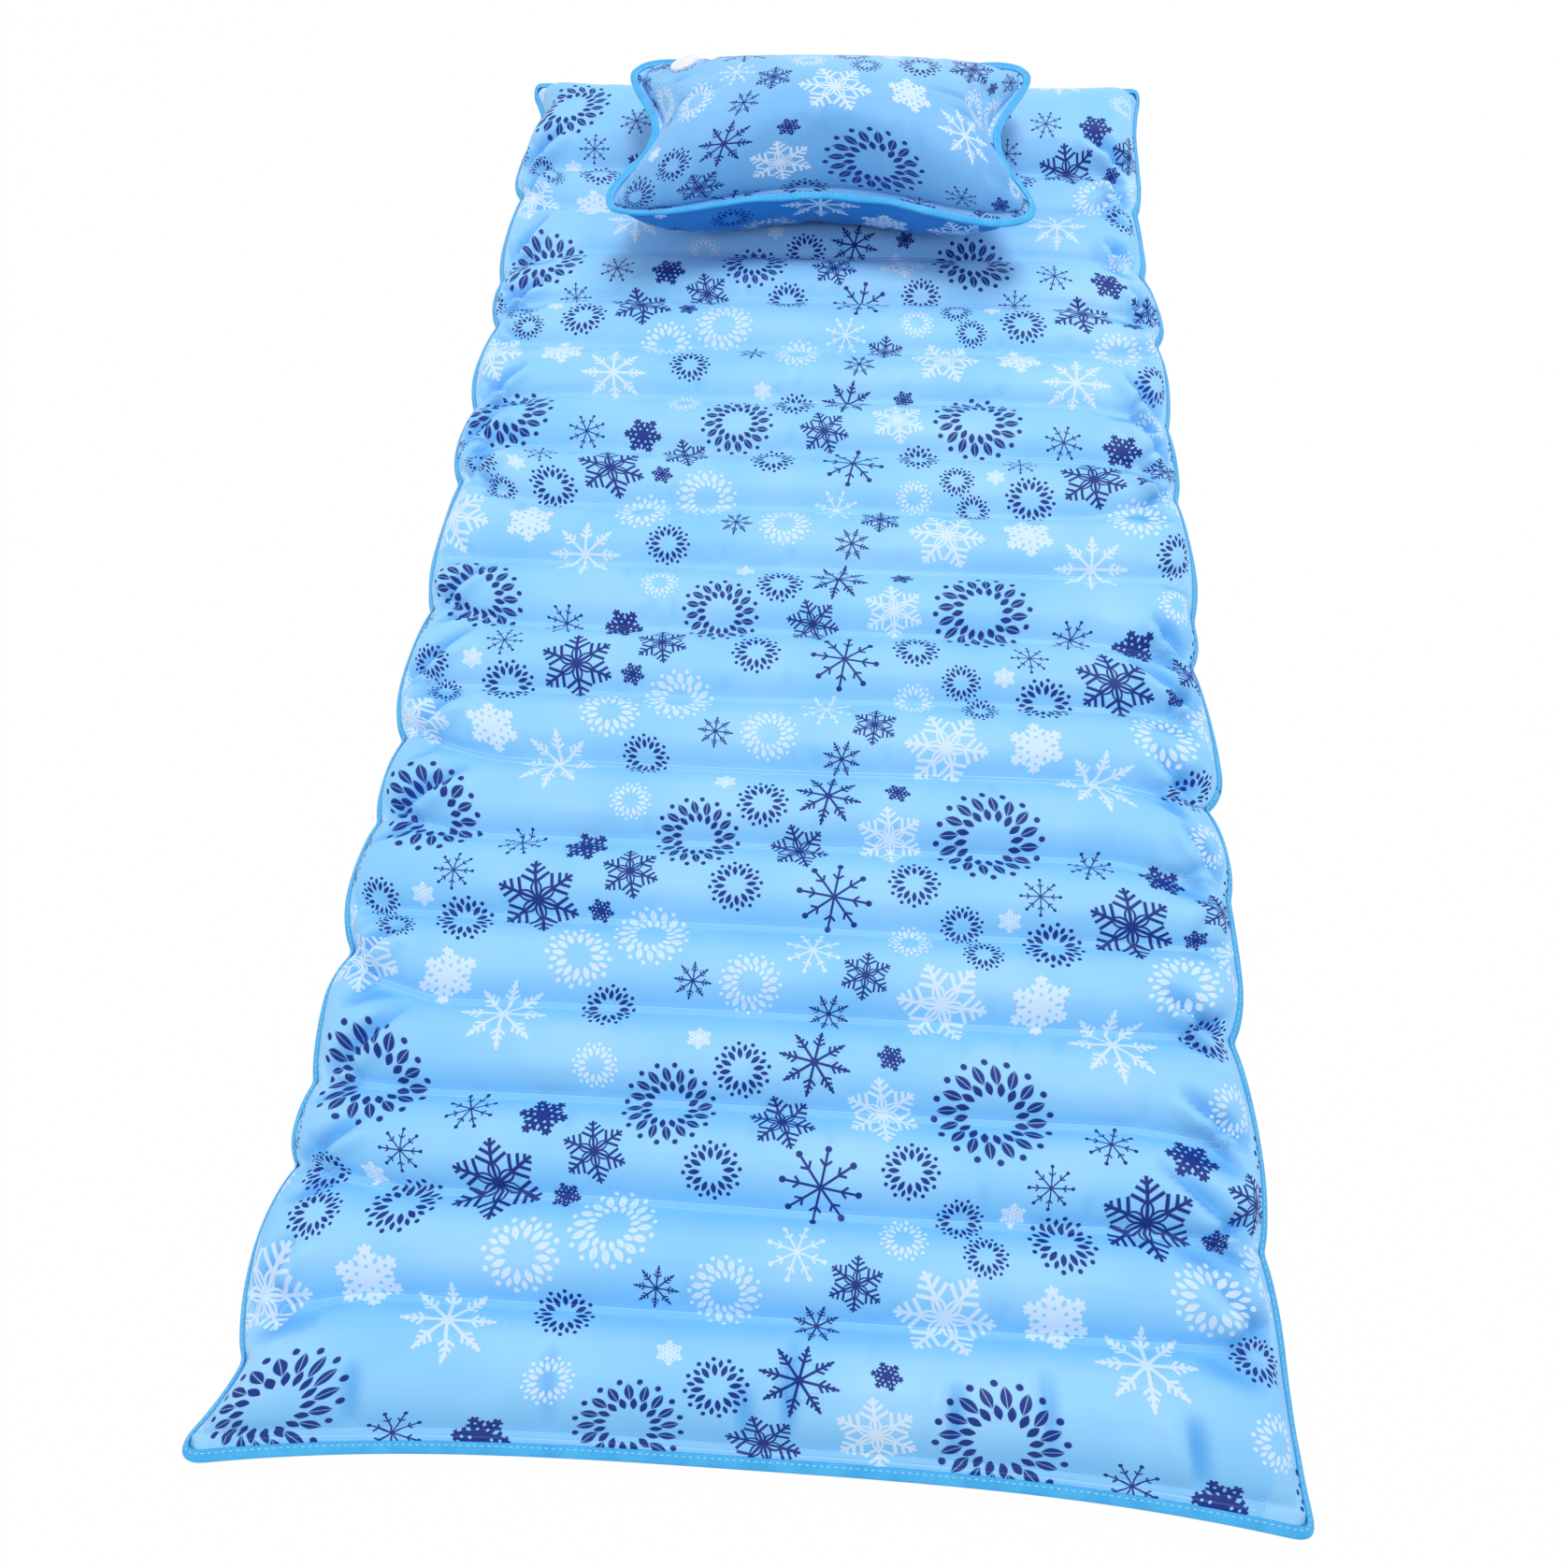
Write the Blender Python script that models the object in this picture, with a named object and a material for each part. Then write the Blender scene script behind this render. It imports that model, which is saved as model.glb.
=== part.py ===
# A water-filled cooling mattress pad with its matching pillow.
#
# The pad is two coated sheets welded together round the edge and along cross welds, which leaves
# a row of water channels. The cross welds stop short of the side welds, so that water passes
# from one channel to the next. A folded tape binds the edge. Four rigid sections meet at three
# of the cross welds, where the real pad bends. The pillow lies on the head section. Each of the
# two has a filler valve: a port welded under the sheet, a sealing washer and a screw cap.
#
# Frame: +Z up, +Y towards the head, origin on the surface that the pad lies on, at its middle.
# All lengths are in metres.

import math

import bmesh
import bpy
import numpy as np
from mathutils import Vector

MM = 0.001

# Pad, filled and lying flat
PAD_WIDTH = 700 * MM  # over the binding, at the corners
CHANNEL_COUNT = 17  # equal cross channels between the foot chamber and the head chamber
CHANNEL_PITCH = 68.8 * MM
FOOT_CHAMBER = 86 * MM
HEAD_CHAMBER = 140 * MM
CHANNEL_CROWN = 15.5 * MM  # rise of a channel above its welds
FOOT_CROWN = 19 * MM
HEAD_CROWN = 27 * MM
WELD_HEIGHT = 12 * MM  # the plane of all welds above the floor
WELD_WIDTH = 6 * MM
EDGE_BAND = 6 * MM  # flat welded band between the chambers and the binding
SIDE_DRAW = 14 * MM  # how far filling draws each side in from the corners
SCALLOP = 7 * MM  # how far a channel's end stands out beyond the cross welds beside it
END_DRAW = 12 * MM  # how far the foot and head edges are drawn in between their corners
EAR_LENGTH = 60 * MM  # stretch beside each corner in which the end edge flares out
CORNER_RADIUS = 10 * MM
CORNER_CUT = 3 * MM  # the sheets' corners are cut back inside the binding
PASSAGE_LENGTH = 34 * MM  # open stretch between a cross weld and the side weld
PASSAGE_RISE = 5 * MM
BELLY_FLAT_SHARE = 0.5  # share of a channel's width that lies flat on the floor
SECTION_NAMES = ("foot", "leg", "back", "head")
CROWN_CORNER_STEPS = 3
BELLY_CORNER_STEPS = 1
WATER_STEPS = 4
SCALLOP_STEPS = 4
CORNER_STEPS = 3

# Sheets, binding and gaps
FILM = 0.6 * MM
TAPE = 0.6 * MM
BINDING_WIDTH = 8 * MM
FOLD_GAP = 1.2 * MM  # from the sheets' cut edge to the fold of the binding
CLEARANCE = 0.3 * MM  # between pieces that touch
WATER_INSET = 5 * MM  # the water stops this far short of a cross weld

# Pillow
PILLOW_LENGTH = 432 * MM  # along X, over the binding, before the corners are rounded
PILLOW_WIDTH = 268 * MM
PILLOW_CROWN = 65 * MM  # above its edge weld
PILLOW_CROWN_POWER = 0.62  # 0.5 gives an ellipse from front to back, more lowers its shoulders
PILLOW_BELLY = 62 * MM  # below its edge weld
PILLOW_BELLY_FLAT_SHARE = 0.4
PILLOW_END_PINCH = 37 * MM  # how far filling draws in the middle of each short side
PILLOW_SIDE_PINCH = 37 * MM
PILLOW_CORNER_ROUND = 9 * MM
PILLOW_CORNER_POWER = 8  # the rounding stays close to the corners
PILLOW_FROM_HEAD = 212 * MM  # from the pad's head end to the middle of the pillow
PILLOW_BAND = 5 * MM
PILLOW_STEP = math.radians(23)

# Filler valve, the same on the pad and on the pillow
BORE_RADIUS = 8 * MM
NECK_RADIUS = 12 * MM
NECK_RISE = 4.2 * MM  # above the sheet
FLANGE_RADIUS = 18 * MM
FLANGE = 1.2 * MM
WASHER = 1.2 * MM
THREAD_SPACE = 1.5 * MM  # between the neck and the cap's skirt
CAP_WALL = 2 * MM
CAP_TOP = 1.8 * MM
CAP_EDGE = 1.2 * MM
CAP_FOOT_GAP = 0.6 * MM
CAP_RIB = 0.5 * MM
CAP_RIBS = 16
PORT_STEPS = 20
PATCH_MARGIN = 2 * MM  # flat spot of the sheet round the port's flange
PAD_VALVE_X = -100 * MM
PILLOW_VALVE_SHARES = (-0.8, 0.62)  # place from the pillow's middle to its welds
CUT_OVERRUN = 10 * MM

# Derived places of the pad
CHAMBERS = [FOOT_CHAMBER] + [CHANNEL_PITCH] * CHANNEL_COUNT + [HEAD_CHAMBER]
CROWNS = [FOOT_CROWN] + [CHANNEL_CROWN] * CHANNEL_COUNT + [HEAD_CROWN]
LAST = len(CHAMBERS) - 1
PAD_EDGE = BINDING_WIDTH + EDGE_BAND
PAD_LENGTH = sum(CHAMBERS) + 2 * PAD_EDGE
WELD_LINES = [sum(CHAMBERS[:k]) + PAD_EDGE - PAD_LENGTH / 2 for k in range(len(CHAMBERS) + 1)]
SECTION_COUNT = len(SECTION_NAMES)
BENDS = [round(k * len(CHAMBERS) / SECTION_COUNT) for k in range(SECTION_COUNT + 1)]
SHEET_FACE = CLEARANCE / 2 + FILM  # from the weld plane to the outer face of either sheet
BELLY = WELD_HEIGHT - SHEET_FACE
CUT_EDGE = TAPE + FOLD_GAP  # from the binding's outer edge to the sheets' cut edge
BINDING_HALF = SHEET_FACE + CLEARANCE + TAPE
HINGE_HEIGHT = WELD_HEIGHT + BINDING_HALF
# Below a wall that rises at up to 60 degrees, a vertical gap is twice the square one
WATER_GAP = 2 * (FILM + CLEARANCE)

# Derived places of the valve and the pillow
PATCH_HALF = FLANGE_RADIUS + PATCH_MARGIN
FLANGE_FACE = FILM + CLEARANCE  # from the sheet's outer face down to the port's flange
SKIRT_RADIUS = NECK_RADIUS + THREAD_SPACE
CAP_RADIUS = SKIRT_RADIUS + CAP_WALL
CAP_ROOF = NECK_RISE + WASHER + 2 * CLEARANCE
CAP_HEIGHT = CAP_ROOF + CAP_TOP
PILLOW_EDGE = BINDING_WIDTH + PILLOW_BAND
PILLOW_Y = PAD_LENGTH / 2 - PILLOW_FROM_HEAD
PILLOW_PLANE = WELD_HEIGHT + SHEET_FACE + CHANNEL_CROWN + CLEARANCE + PILLOW_BELLY + SHEET_FACE
PILLOW_WATER_SHARE = 1 - (FILM + 2 * CLEARANCE) / PILLOW_BELLY


# Scene, materials and frames


def clear_scene():
    for obj in list(bpy.data.objects):
        bpy.data.objects.remove(obj)


def make_material(name, colour, roughness, metallic=0.0):
    material = bpy.data.materials.new(name)
    material.use_nodes = True
    shader = material.node_tree.nodes["Principled BSDF"]
    shader.inputs["Base Color"].default_value = (*colour, 1)
    shader.inputs["Roughness"].default_value = roughness
    shader.inputs["Metallic"].default_value = metallic
    return material


def world_place(frame):
    # Empties stand unturned under each other, so their places add up
    place = Vector()
    while frame:
        place += frame.location
        frame = frame.parent
    return place


def add_frame(name, place, parent=None):
    frame = bpy.data.objects.new(name, None)
    bpy.context.scene.collection.objects.link(frame)
    frame.parent = parent
    frame.location = Vector(place) - world_place(parent)
    return frame


def add_object(name, mesh_data, material, frame):
    # The mesh is drawn in world coordinates and hangs under the empty of its body
    obj = bpy.data.objects.new(name, mesh_data)
    bpy.context.scene.collection.objects.link(obj)
    mesh_data.materials.append(material)
    mesh_data.shade_smooth()
    mesh_data.set_sharp_from_angle(angle=math.radians(50))
    obj.parent = frame
    obj.location = -world_place(frame)
    return obj


def add_turned(name, mesh_data, material, axis):
    # A turned piece is drawn about its own axis, where its parent empty stands
    obj = add_object(name, mesh_data, material, axis)
    obj.location = (0, 0, 0)
    return obj


def add_cutter(name, mesh_data, axis):
    cutter = bpy.data.objects.new(name, mesh_data)
    bpy.context.scene.collection.objects.link(cutter)
    cutter.parent = axis
    cutter.hide_render = True
    cutter.display_type = "WIRE"
    return cutter


def cut(obj, cutter):
    hole = obj.modifiers.new(cutter.name, "BOOLEAN")
    hole.operation = "DIFFERENCE"
    hole.solver = "EXACT"
    hole.object = cutter


def thicken(obj):
    # The drawn surface is the sheet's outer face, and its thickness goes inwards
    solid = obj.modifiers.new("film", "SOLIDIFY")
    solid.thickness = FILM
    solid.offset = -1
    solid.use_even_offset = True


# Mesh builders


def mesh_from(name, fill):
    work = bmesh.new()
    fill(work)
    mesh_data = bpy.data.meshes.new(name)
    work.to_mesh(mesh_data)
    work.free()
    return mesh_data


def add_grid(work, rows, bulge, filled=None):
    # Cells between neighbouring rows of points, facing +Z where rows go along Y and points along
    # X. Each is split in two along its higher diagonal (bulge 1) or its lower one (bulge -1).
    verts = [[work.verts.new(point) for point in row] for row in rows]
    for i in range(len(rows) - 1):
        for j in range(len(rows[0]) - 1):
            if filled is not None and not filled(i, j):
                continue
            a, b, c, d = verts[i][j], verts[i][j + 1], verts[i + 1][j + 1], verts[i + 1][j]
            if bulge * (a.co.z + c.co.z) < bulge * (b.co.z + d.co.z):
                a, b, c, d = b, c, d, a
            work.faces.new((a, b, c))
            work.faces.new((a, c, d))
    return verts


def add_solid_grid(work, top, bottom, filled):
    # Two grids over each other, with walls round the cells that are filled
    upper = add_grid(work, top, -1, filled)
    lower = add_grid(work, bottom, 1, filled)
    pairs = {a: b for above, below in zip(upper, lower) for a, b in zip(above, below)}
    rims = [edge for edge in work.edges if edge.is_boundary and edge.verts[0] in pairs]
    for edge in rims:
        first, second = edge.verts
        work.faces.new((first, second, pairs[second], pairs[first]))
    loose = [vert for vert in work.verts if not vert.link_faces]
    bmesh.ops.delete(work, geom=loose, context="VERTS")
    bmesh.ops.recalc_face_normals(work, faces=work.faces)


def offset_path(points, distance, closed):
    # Moves a flat path to its left by distance, with mitred corners. Open ends are cut along X.
    moved = []
    count = len(points)
    for k, point in enumerate(points):
        ways = []
        if closed or k > 0:
            ways.append((point - points[k - 1]).normalized())
        if closed or k < count - 1:
            ways.append((points[(k + 1) % count] - point).normalized())
        lefts = [Vector((-way.y, way.x)) for way in ways]
        if len(lefts) == 1:
            moved.append(point + Vector((distance / lefts[0].x, 0)))
        else:
            middle = (lefts[0] + lefts[1]).normalized()
            moved.append(point + middle * (distance / middle.dot(lefts[0])))
    return moved


def binding_mesh(name, outer, height, closed=False):
    # A tape folded over the sheets' edge: a C section carried along the outer path, which runs
    # anticlockwise
    inner = offset_path(outer, BINDING_WIDTH, closed)
    fold = offset_path(outer, TAPE, closed)
    slot = BINDING_HALF - TAPE

    def fill(work):
        rings = []
        for far, near, mid in zip(outer, inner, fold):
            section = (
                (near, BINDING_HALF),
                (far, BINDING_HALF),
                (far, -BINDING_HALF),
                (near, -BINDING_HALF),
                (near, -slot),
                (mid, -slot),
                (mid, slot),
                (near, slot),
            )
            rings.append([work.verts.new((at.x, at.y, height + up)) for at, up in section])
        pairs = list(zip(rings, rings[1:]))
        if closed:
            pairs.append((rings[-1], rings[0]))
        else:
            work.faces.new(rings[0])
            work.faces.new(rings[-1])
        for ring, after in pairs:
            for k in range(len(ring)):
                turn = (k + 1) % len(ring)
                work.faces.new((ring[k], ring[turn], after[turn], after[k]))
        bmesh.ops.recalc_face_normals(work, faces=work.faces)

    return mesh_from(name, fill)


def turned_mesh(name, profile, steps, closed=True, rib=0):
    # Turns a profile of (radius, height) points about Z. A closed profile makes a ring. With a
    # rib, every second step stands back by it wherever the profile is at its widest.
    widest = max(radius for radius, _ in profile)

    def fill(work):
        rings = []
        for radius, height in profile:
            if radius == 0:
                rings.append([work.verts.new((0, 0, height))] * steps)
                continue
            ring = []
            for k in range(steps):
                turn = 2 * math.pi * k / steps
                reach = radius - rib * (k % 2) if radius == widest else radius
                point = (reach * math.cos(turn), reach * math.sin(turn), height)
                ring.append(work.verts.new(point))
            rings.append(ring)
        pairs = list(zip(rings, rings[1:]))
        if closed:
            pairs.append((rings[-1], rings[0]))
        for ring, after in pairs:
            for k in range(steps):
                turn = (k + 1) % steps
                corners = (ring[k], ring[turn], after[turn], after[k])
                work.faces.new(list(dict.fromkeys(corners)))
        bmesh.ops.recalc_face_normals(work, faces=work.faces)

    return mesh_from(name, fill)


# The pad's outline and heights


def chamber_steps(flat_share, corner_steps):
    # Places across a chamber from -1 to 1, with the share of its full rise at each: flat in the
    # middle, with rounded sides
    side = []
    for k in range(corner_steps + 1):
        turn = k / corner_steps
        side.append((1 - (1 - flat_share) * turn, turn * (2 - turn)))
    mirrored = side[::-1] if flat_share > 0 else side[-2::-1]
    return [(-place, share) for place, share in side] + mirrored


def chamber_span(index):
    # The middle of a chamber along Y, and half the width of its free sheet
    start = WELD_LINES[index] + (WELD_WIDTH / 2 if index > 0 else 0)
    end = WELD_LINES[index + 1] - (WELD_WIDTH / 2 if index < LAST else 0)
    return (start + end) / 2, (end - start) / 2


def crown_steps(index):
    # The head chamber's crown is flat enough to seat a valve
    flat_share = PATCH_HALF / chamber_span(index)[1] if index == LAST else 0
    return chamber_steps(flat_share, CROWN_CORNER_STEPS)


BELLY_STEPS = chamber_steps(BELLY_FLAT_SHARE, BELLY_CORNER_STEPS)


def half_width(y):
    # From the pad's centreline to the outer edge of the binding
    drawn = PAD_WIDTH / 2 - SIDE_DRAW
    index = max(k for k in range(len(CHAMBERS)) if k == 0 or y > WELD_LINES[k])
    place = (y - WELD_LINES[index]) / CHAMBERS[index]
    place = min(max(place, 0), 1)
    if index == 0:
        return drawn + SIDE_DRAW * (1 - place)
    if index == LAST:
        return drawn + SIDE_DRAW * place
    return drawn + SCALLOP * 4 * place * (1 - place)


def drawn_in(x, y):
    # The foot and head edges are drawn in between their corners, less and less up to the first
    # cross weld
    inner, outer = (WELD_LINES[1], -PAD_LENGTH / 2) if y < 0 else (WELD_LINES[LAST], PAD_LENGTH / 2)
    reach = max((y - inner) / (outer - inner), 0)
    ear = max(abs(x) - (PAD_WIDTH / 2 - EAR_LENGTH), 0) / EAR_LENGTH
    return Vector((x, y - math.copysign(END_DRAW, y) * reach * (1 - ear * ear)))


def side_columns(y):
    # Distances from the centreline: the end of the cross welds, the middle of the passage, the
    # side weld
    weld = half_width(y) - PAD_EDGE
    return [weld - PASSAGE_LENGTH, weld - PASSAGE_LENGTH / 2, weld]


def end_rounding(share):
    # Height of a channel's rounded end, from 1 where it begins to 0 at the side weld
    return math.sqrt(1 - share * share)


def mirrored_row(xs, y, heights):
    right = [(*drawn_in(x, y), height) for x, height in zip(xs, heights)]
    return [(-x, at, height) for x, at, height in reversed(right)] + right


def pad_sheet_mesh(name, section, side):
    # The outer face of the top sheet (side 1) or bottom sheet (side -1) of one section
    face = WELD_HEIGHT + side * SHEET_FACE
    first, last = BENDS[section], BENDS[section + 1]
    middle_rounding = end_rounding(0.5)

    def sheet_row(y, rises):
        heights = [face + side * rise for rise in rises] + [face, face]
        return mirrored_row(side_columns(y) + [half_width(y) - CUT_EDGE], y, heights)

    def end_row(sign):
        y = sign * (PAD_LENGTH / 2 - CUT_EDGE)
        xs = side_columns(y) + [half_width(y) - CUT_EDGE - CORNER_CUT]
        row = mirrored_row(xs, y, [face] * len(xs))
        corner_y = y - sign * CORNER_CUT
        row[0] = (row[0][0], corner_y, face)
        row[-1] = (row[-1][0], corner_y, face)
        return row

    rows = []
    if section == 0:
        rows.append(end_row(-1))
    else:
        rows.append(sheet_row(WELD_LINES[first] + CLEARANCE / 2, (0, 0)))
    for index in range(first, last):
        middle, half = chamber_span(index)
        steps = crown_steps(index) if side > 0 else BELLY_STEPS
        depth = CROWNS[index] if side > 0 else BELLY
        for number, (place, share) in enumerate(steps):
            starts, ends = number == 0, number == len(steps) - 1
            if starts or ends:
                closed = starts and index == first or ends and index == last - 1
                rises = (0, 0 if closed else PASSAGE_RISE)
            else:
                rises = (depth * share, depth * share * middle_rounding)
            rows.append(sheet_row(middle + half * place, rises))
    if section == SECTION_COUNT - 1:
        rows.append(end_row(1))
    else:
        rows.append(sheet_row(WELD_LINES[last] - CLEARANCE / 2, (0, 0)))
    if side < 0:
        rows.reverse()
    return mesh_from(name, lambda work: add_grid(work, rows, side))


def pad_water_mesh(name, section):
    # The water of one section: its chambers, joined through the passages at both sides
    first, last = BENDS[section], BENDS[section + 1]
    column_shares = (0.25, 0.5, 0.75)  # places across the rounded channel end
    middle_rounding = end_rounding(0.5)
    roundings = ((1 + middle_rounding) / 2, middle_rounding, middle_rounding / 2)
    top, bottom, chamber_rows = [], [], []
    for index in range(first, last):
        middle, half = chamber_span(index)
        crown_places, crown_shares = zip(*crown_steps(index))
        belly_places, belly_shares = zip(*BELLY_STEPS)
        edge = 1 - WATER_INSET / half
        places = [edge * (2 * k / WATER_STEPS - 1) for k in range(WATER_STEPS + 1)]
        for number, place in enumerate(places):
            y = middle + half * place
            weld = side_columns(y)[-1]
            xs = [weld - PASSAGE_LENGTH * (1 - share) for share in column_shares]
            crown = CROWNS[index] * float(np.interp(place, crown_places, crown_shares))
            belly = BELLY * float(np.interp(place, belly_places, belly_shares))
            rises = [crown * rounding for rounding in roundings]
            falls = [belly * rounding for rounding in roundings]
            before = number == 0 and index > first
            after = number == len(places) - 1 and index < last - 1
            if before or after:
                limits = (PASSAGE_RISE / 2, PASSAGE_RISE, PASSAGE_RISE / 2)
                rises = [min(rise, limit) for rise, limit in zip(rises, limits)]
                falls = [min(fall, limit) for fall, limit in zip(falls, limits)]
            above = [WELD_HEIGHT + SHEET_FACE + rise - WATER_GAP for rise in rises]
            below = [WELD_HEIGHT - SHEET_FACE - fall + WATER_GAP for fall in falls]
            top.append(mirrored_row(xs, y, above))
            bottom.append(mirrored_row(xs, y, below))
            chamber_rows.append(index)
    middle_cell = len(column_shares) - 1

    def filled(i, j):
        return j != middle_cell or chamber_rows[i] == chamber_rows[i + 1]

    return mesh_from(name, lambda work: add_solid_grid(work, top, bottom, filled))


def half_outline(section):
    # The right-hand half of one section's outer edge, anticlockwise
    first, last = BENDS[section], BENDS[section + 1]
    ys = []
    for index in range(first, last):
        for step in range(SCALLOP_STEPS):
            ys.append(WELD_LINES[index] + CHAMBERS[index] * step / SCALLOP_STEPS)
    ys.append(WELD_LINES[last])
    ys[0] += CLEARANCE / 2 if section > 0 else 0
    ys[-1] -= CLEARANCE / 2 if section < SECTION_COUNT - 1 else 0
    points = [(half_width(y), y) for y in ys]
    corner = []
    for k in range(CORNER_STEPS + 1):
        turn = math.pi / 2 * k / CORNER_STEPS
        x = PAD_WIDTH / 2 - CORNER_RADIUS * (1 - math.cos(turn))
        corner.append((x, PAD_LENGTH / 2 - CORNER_RADIUS * (1 - math.sin(turn))))
    ear_start = PAD_WIDTH / 2 - EAR_LENGTH
    corner.append(((ear_start + corner[-1][0]) / 2, PAD_LENGTH / 2))
    corner.append((ear_start, PAD_LENGTH / 2))
    if section == 0:
        points = [(x, -y) for x, y in reversed(corner)] + points
    if section == SECTION_COUNT - 1:
        points = points + corner
    return [drawn_in(x, y) for x, y in points]


def mirrored_path(points):
    return [Vector((-point.x, point.y)) for point in reversed(points)]


# The pillow's outline and heights


def arc_lines(start, end):
    # Places from start to end, as sines of evenly spaced angles
    low, high = math.asin(start), math.asin(end)
    count = math.ceil((high - low) / PILLOW_STEP)
    return [math.sin(low + (high - low) * k / count) for k in range(count + 1)]


def pillow_halves(u, v):
    # Half the pillow's length and width between its welds, at a place given as shares
    length = PILLOW_LENGTH / 2 - PILLOW_EDGE - PILLOW_END_PINCH * (1 + math.cos(math.pi * v)) / 2
    width = PILLOW_WIDTH / 2 - PILLOW_EDGE - PILLOW_SIDE_PINCH * (1 + math.cos(math.pi * u)) / 2
    return length, width


def pillow_lines():
    # Grid lines both ways, with one cell of the grid where the valve's flat patch is
    lines = []
    halves = pillow_halves(*PILLOW_VALVE_SHARES)
    for share, half in zip(PILLOW_VALVE_SHARES, halves):
        low, high = share - PATCH_HALF / half, share + PATCH_HALF / half
        lines.append((arc_lines(-1, low) + arc_lines(high, 1), low, high))
    return lines


def rounded(place, flat_share, power=0.5):
    over = max((abs(place) - flat_share) / (1 - flat_share), 0)
    return max(1 - over * over, 0) ** power


def pillow_grid(side):
    # Points of the outer face above (side 1) or below (side -1) the edge weld
    (us, u_low, u_high), (vs, v_low, v_high) = pillow_lines()
    depth = PILLOW_CROWN if side > 0 else PILLOW_BELLY
    flat_share, power = (0, PILLOW_CROWN_POWER) if side > 0 else (PILLOW_BELLY_FLAT_SHARE, 0.5)
    rows = []
    for v in vs:
        row = []
        for u in us:
            length, width = pillow_halves(u, v)
            ear = PILLOW_CORNER_ROUND * abs(u * v) ** PILLOW_CORNER_POWER
            x = u * length - math.copysign(ear, u)
            y = v * width - math.copysign(ear, v)
            rise = depth * rounded(u, flat_share) * rounded(v, flat_share, power)
            row.append(Vector((x, PILLOW_Y + y, PILLOW_PLANE + side * (SHEET_FACE + rise))))
        rows.append(row)
    patch = [rows[vs.index(v)][us.index(u)] for v in (v_low, v_high) for u in (u_low, u_high)]
    return rows, patch


def flatten(points):
    # Moves four points up or down onto one plane, and returns its middle and its normal
    middle = sum(points, Vector()) / len(points)
    flat = [(point.x - middle.x, point.y - middle.y, 1) for point in points]
    slope_x, slope_y, _ = np.linalg.lstsq(
        np.array(flat), np.array([point.z - middle.z for point in points]), rcond=None
    )[0]
    for point in points:
        rise = slope_x * (point.x - middle.x) + slope_y * (point.y - middle.y)
        point.z = middle.z + float(rise)
    return middle, Vector((-slope_x, -slope_y, 1)).normalized()


def grid_rim(rows):
    # The border of a grid of points, anticlockwise from above
    right = [row[-1] for row in rows[1:]]
    left = [row[0] for row in rows[-2:0:-1]]
    return list(rows[0]) + right + list(reversed(rows[-1][:-1])) + left


def pillow_panel_mesh(name, rows, side):
    rim = grid_rim(rows)
    path = [Vector((point.x, point.y)) for point in rim]
    edge = offset_path(path, CUT_EDGE - PILLOW_EDGE, True)
    face = PILLOW_PLANE + side * SHEET_FACE

    def fill(work):
        verts = add_grid(work, rows, side)
        inner = grid_rim(verts)
        outer = [work.verts.new((point.x, point.y, face)) for point in edge]
        for k in range(len(inner)):
            turn = (k + 1) % len(inner)
            work.faces.new((outer[k], outer[turn], inner[turn], inner[k]))
        if side < 0:
            bmesh.ops.reverse_faces(work, faces=work.faces)

    return mesh_from(name, fill)


def pillow_water_mesh(name, top, bottom):
    centre = Vector((0, PILLOW_Y, PILLOW_PLANE))

    def shrunk(rows):
        return [[centre + (point - centre) * PILLOW_WATER_SHARE for point in row] for row in rows]

    def fill(work):
        add_solid_grid(work, shrunk(top), shrunk(bottom), None)

    return mesh_from(name, fill)


# Filler valve


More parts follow.
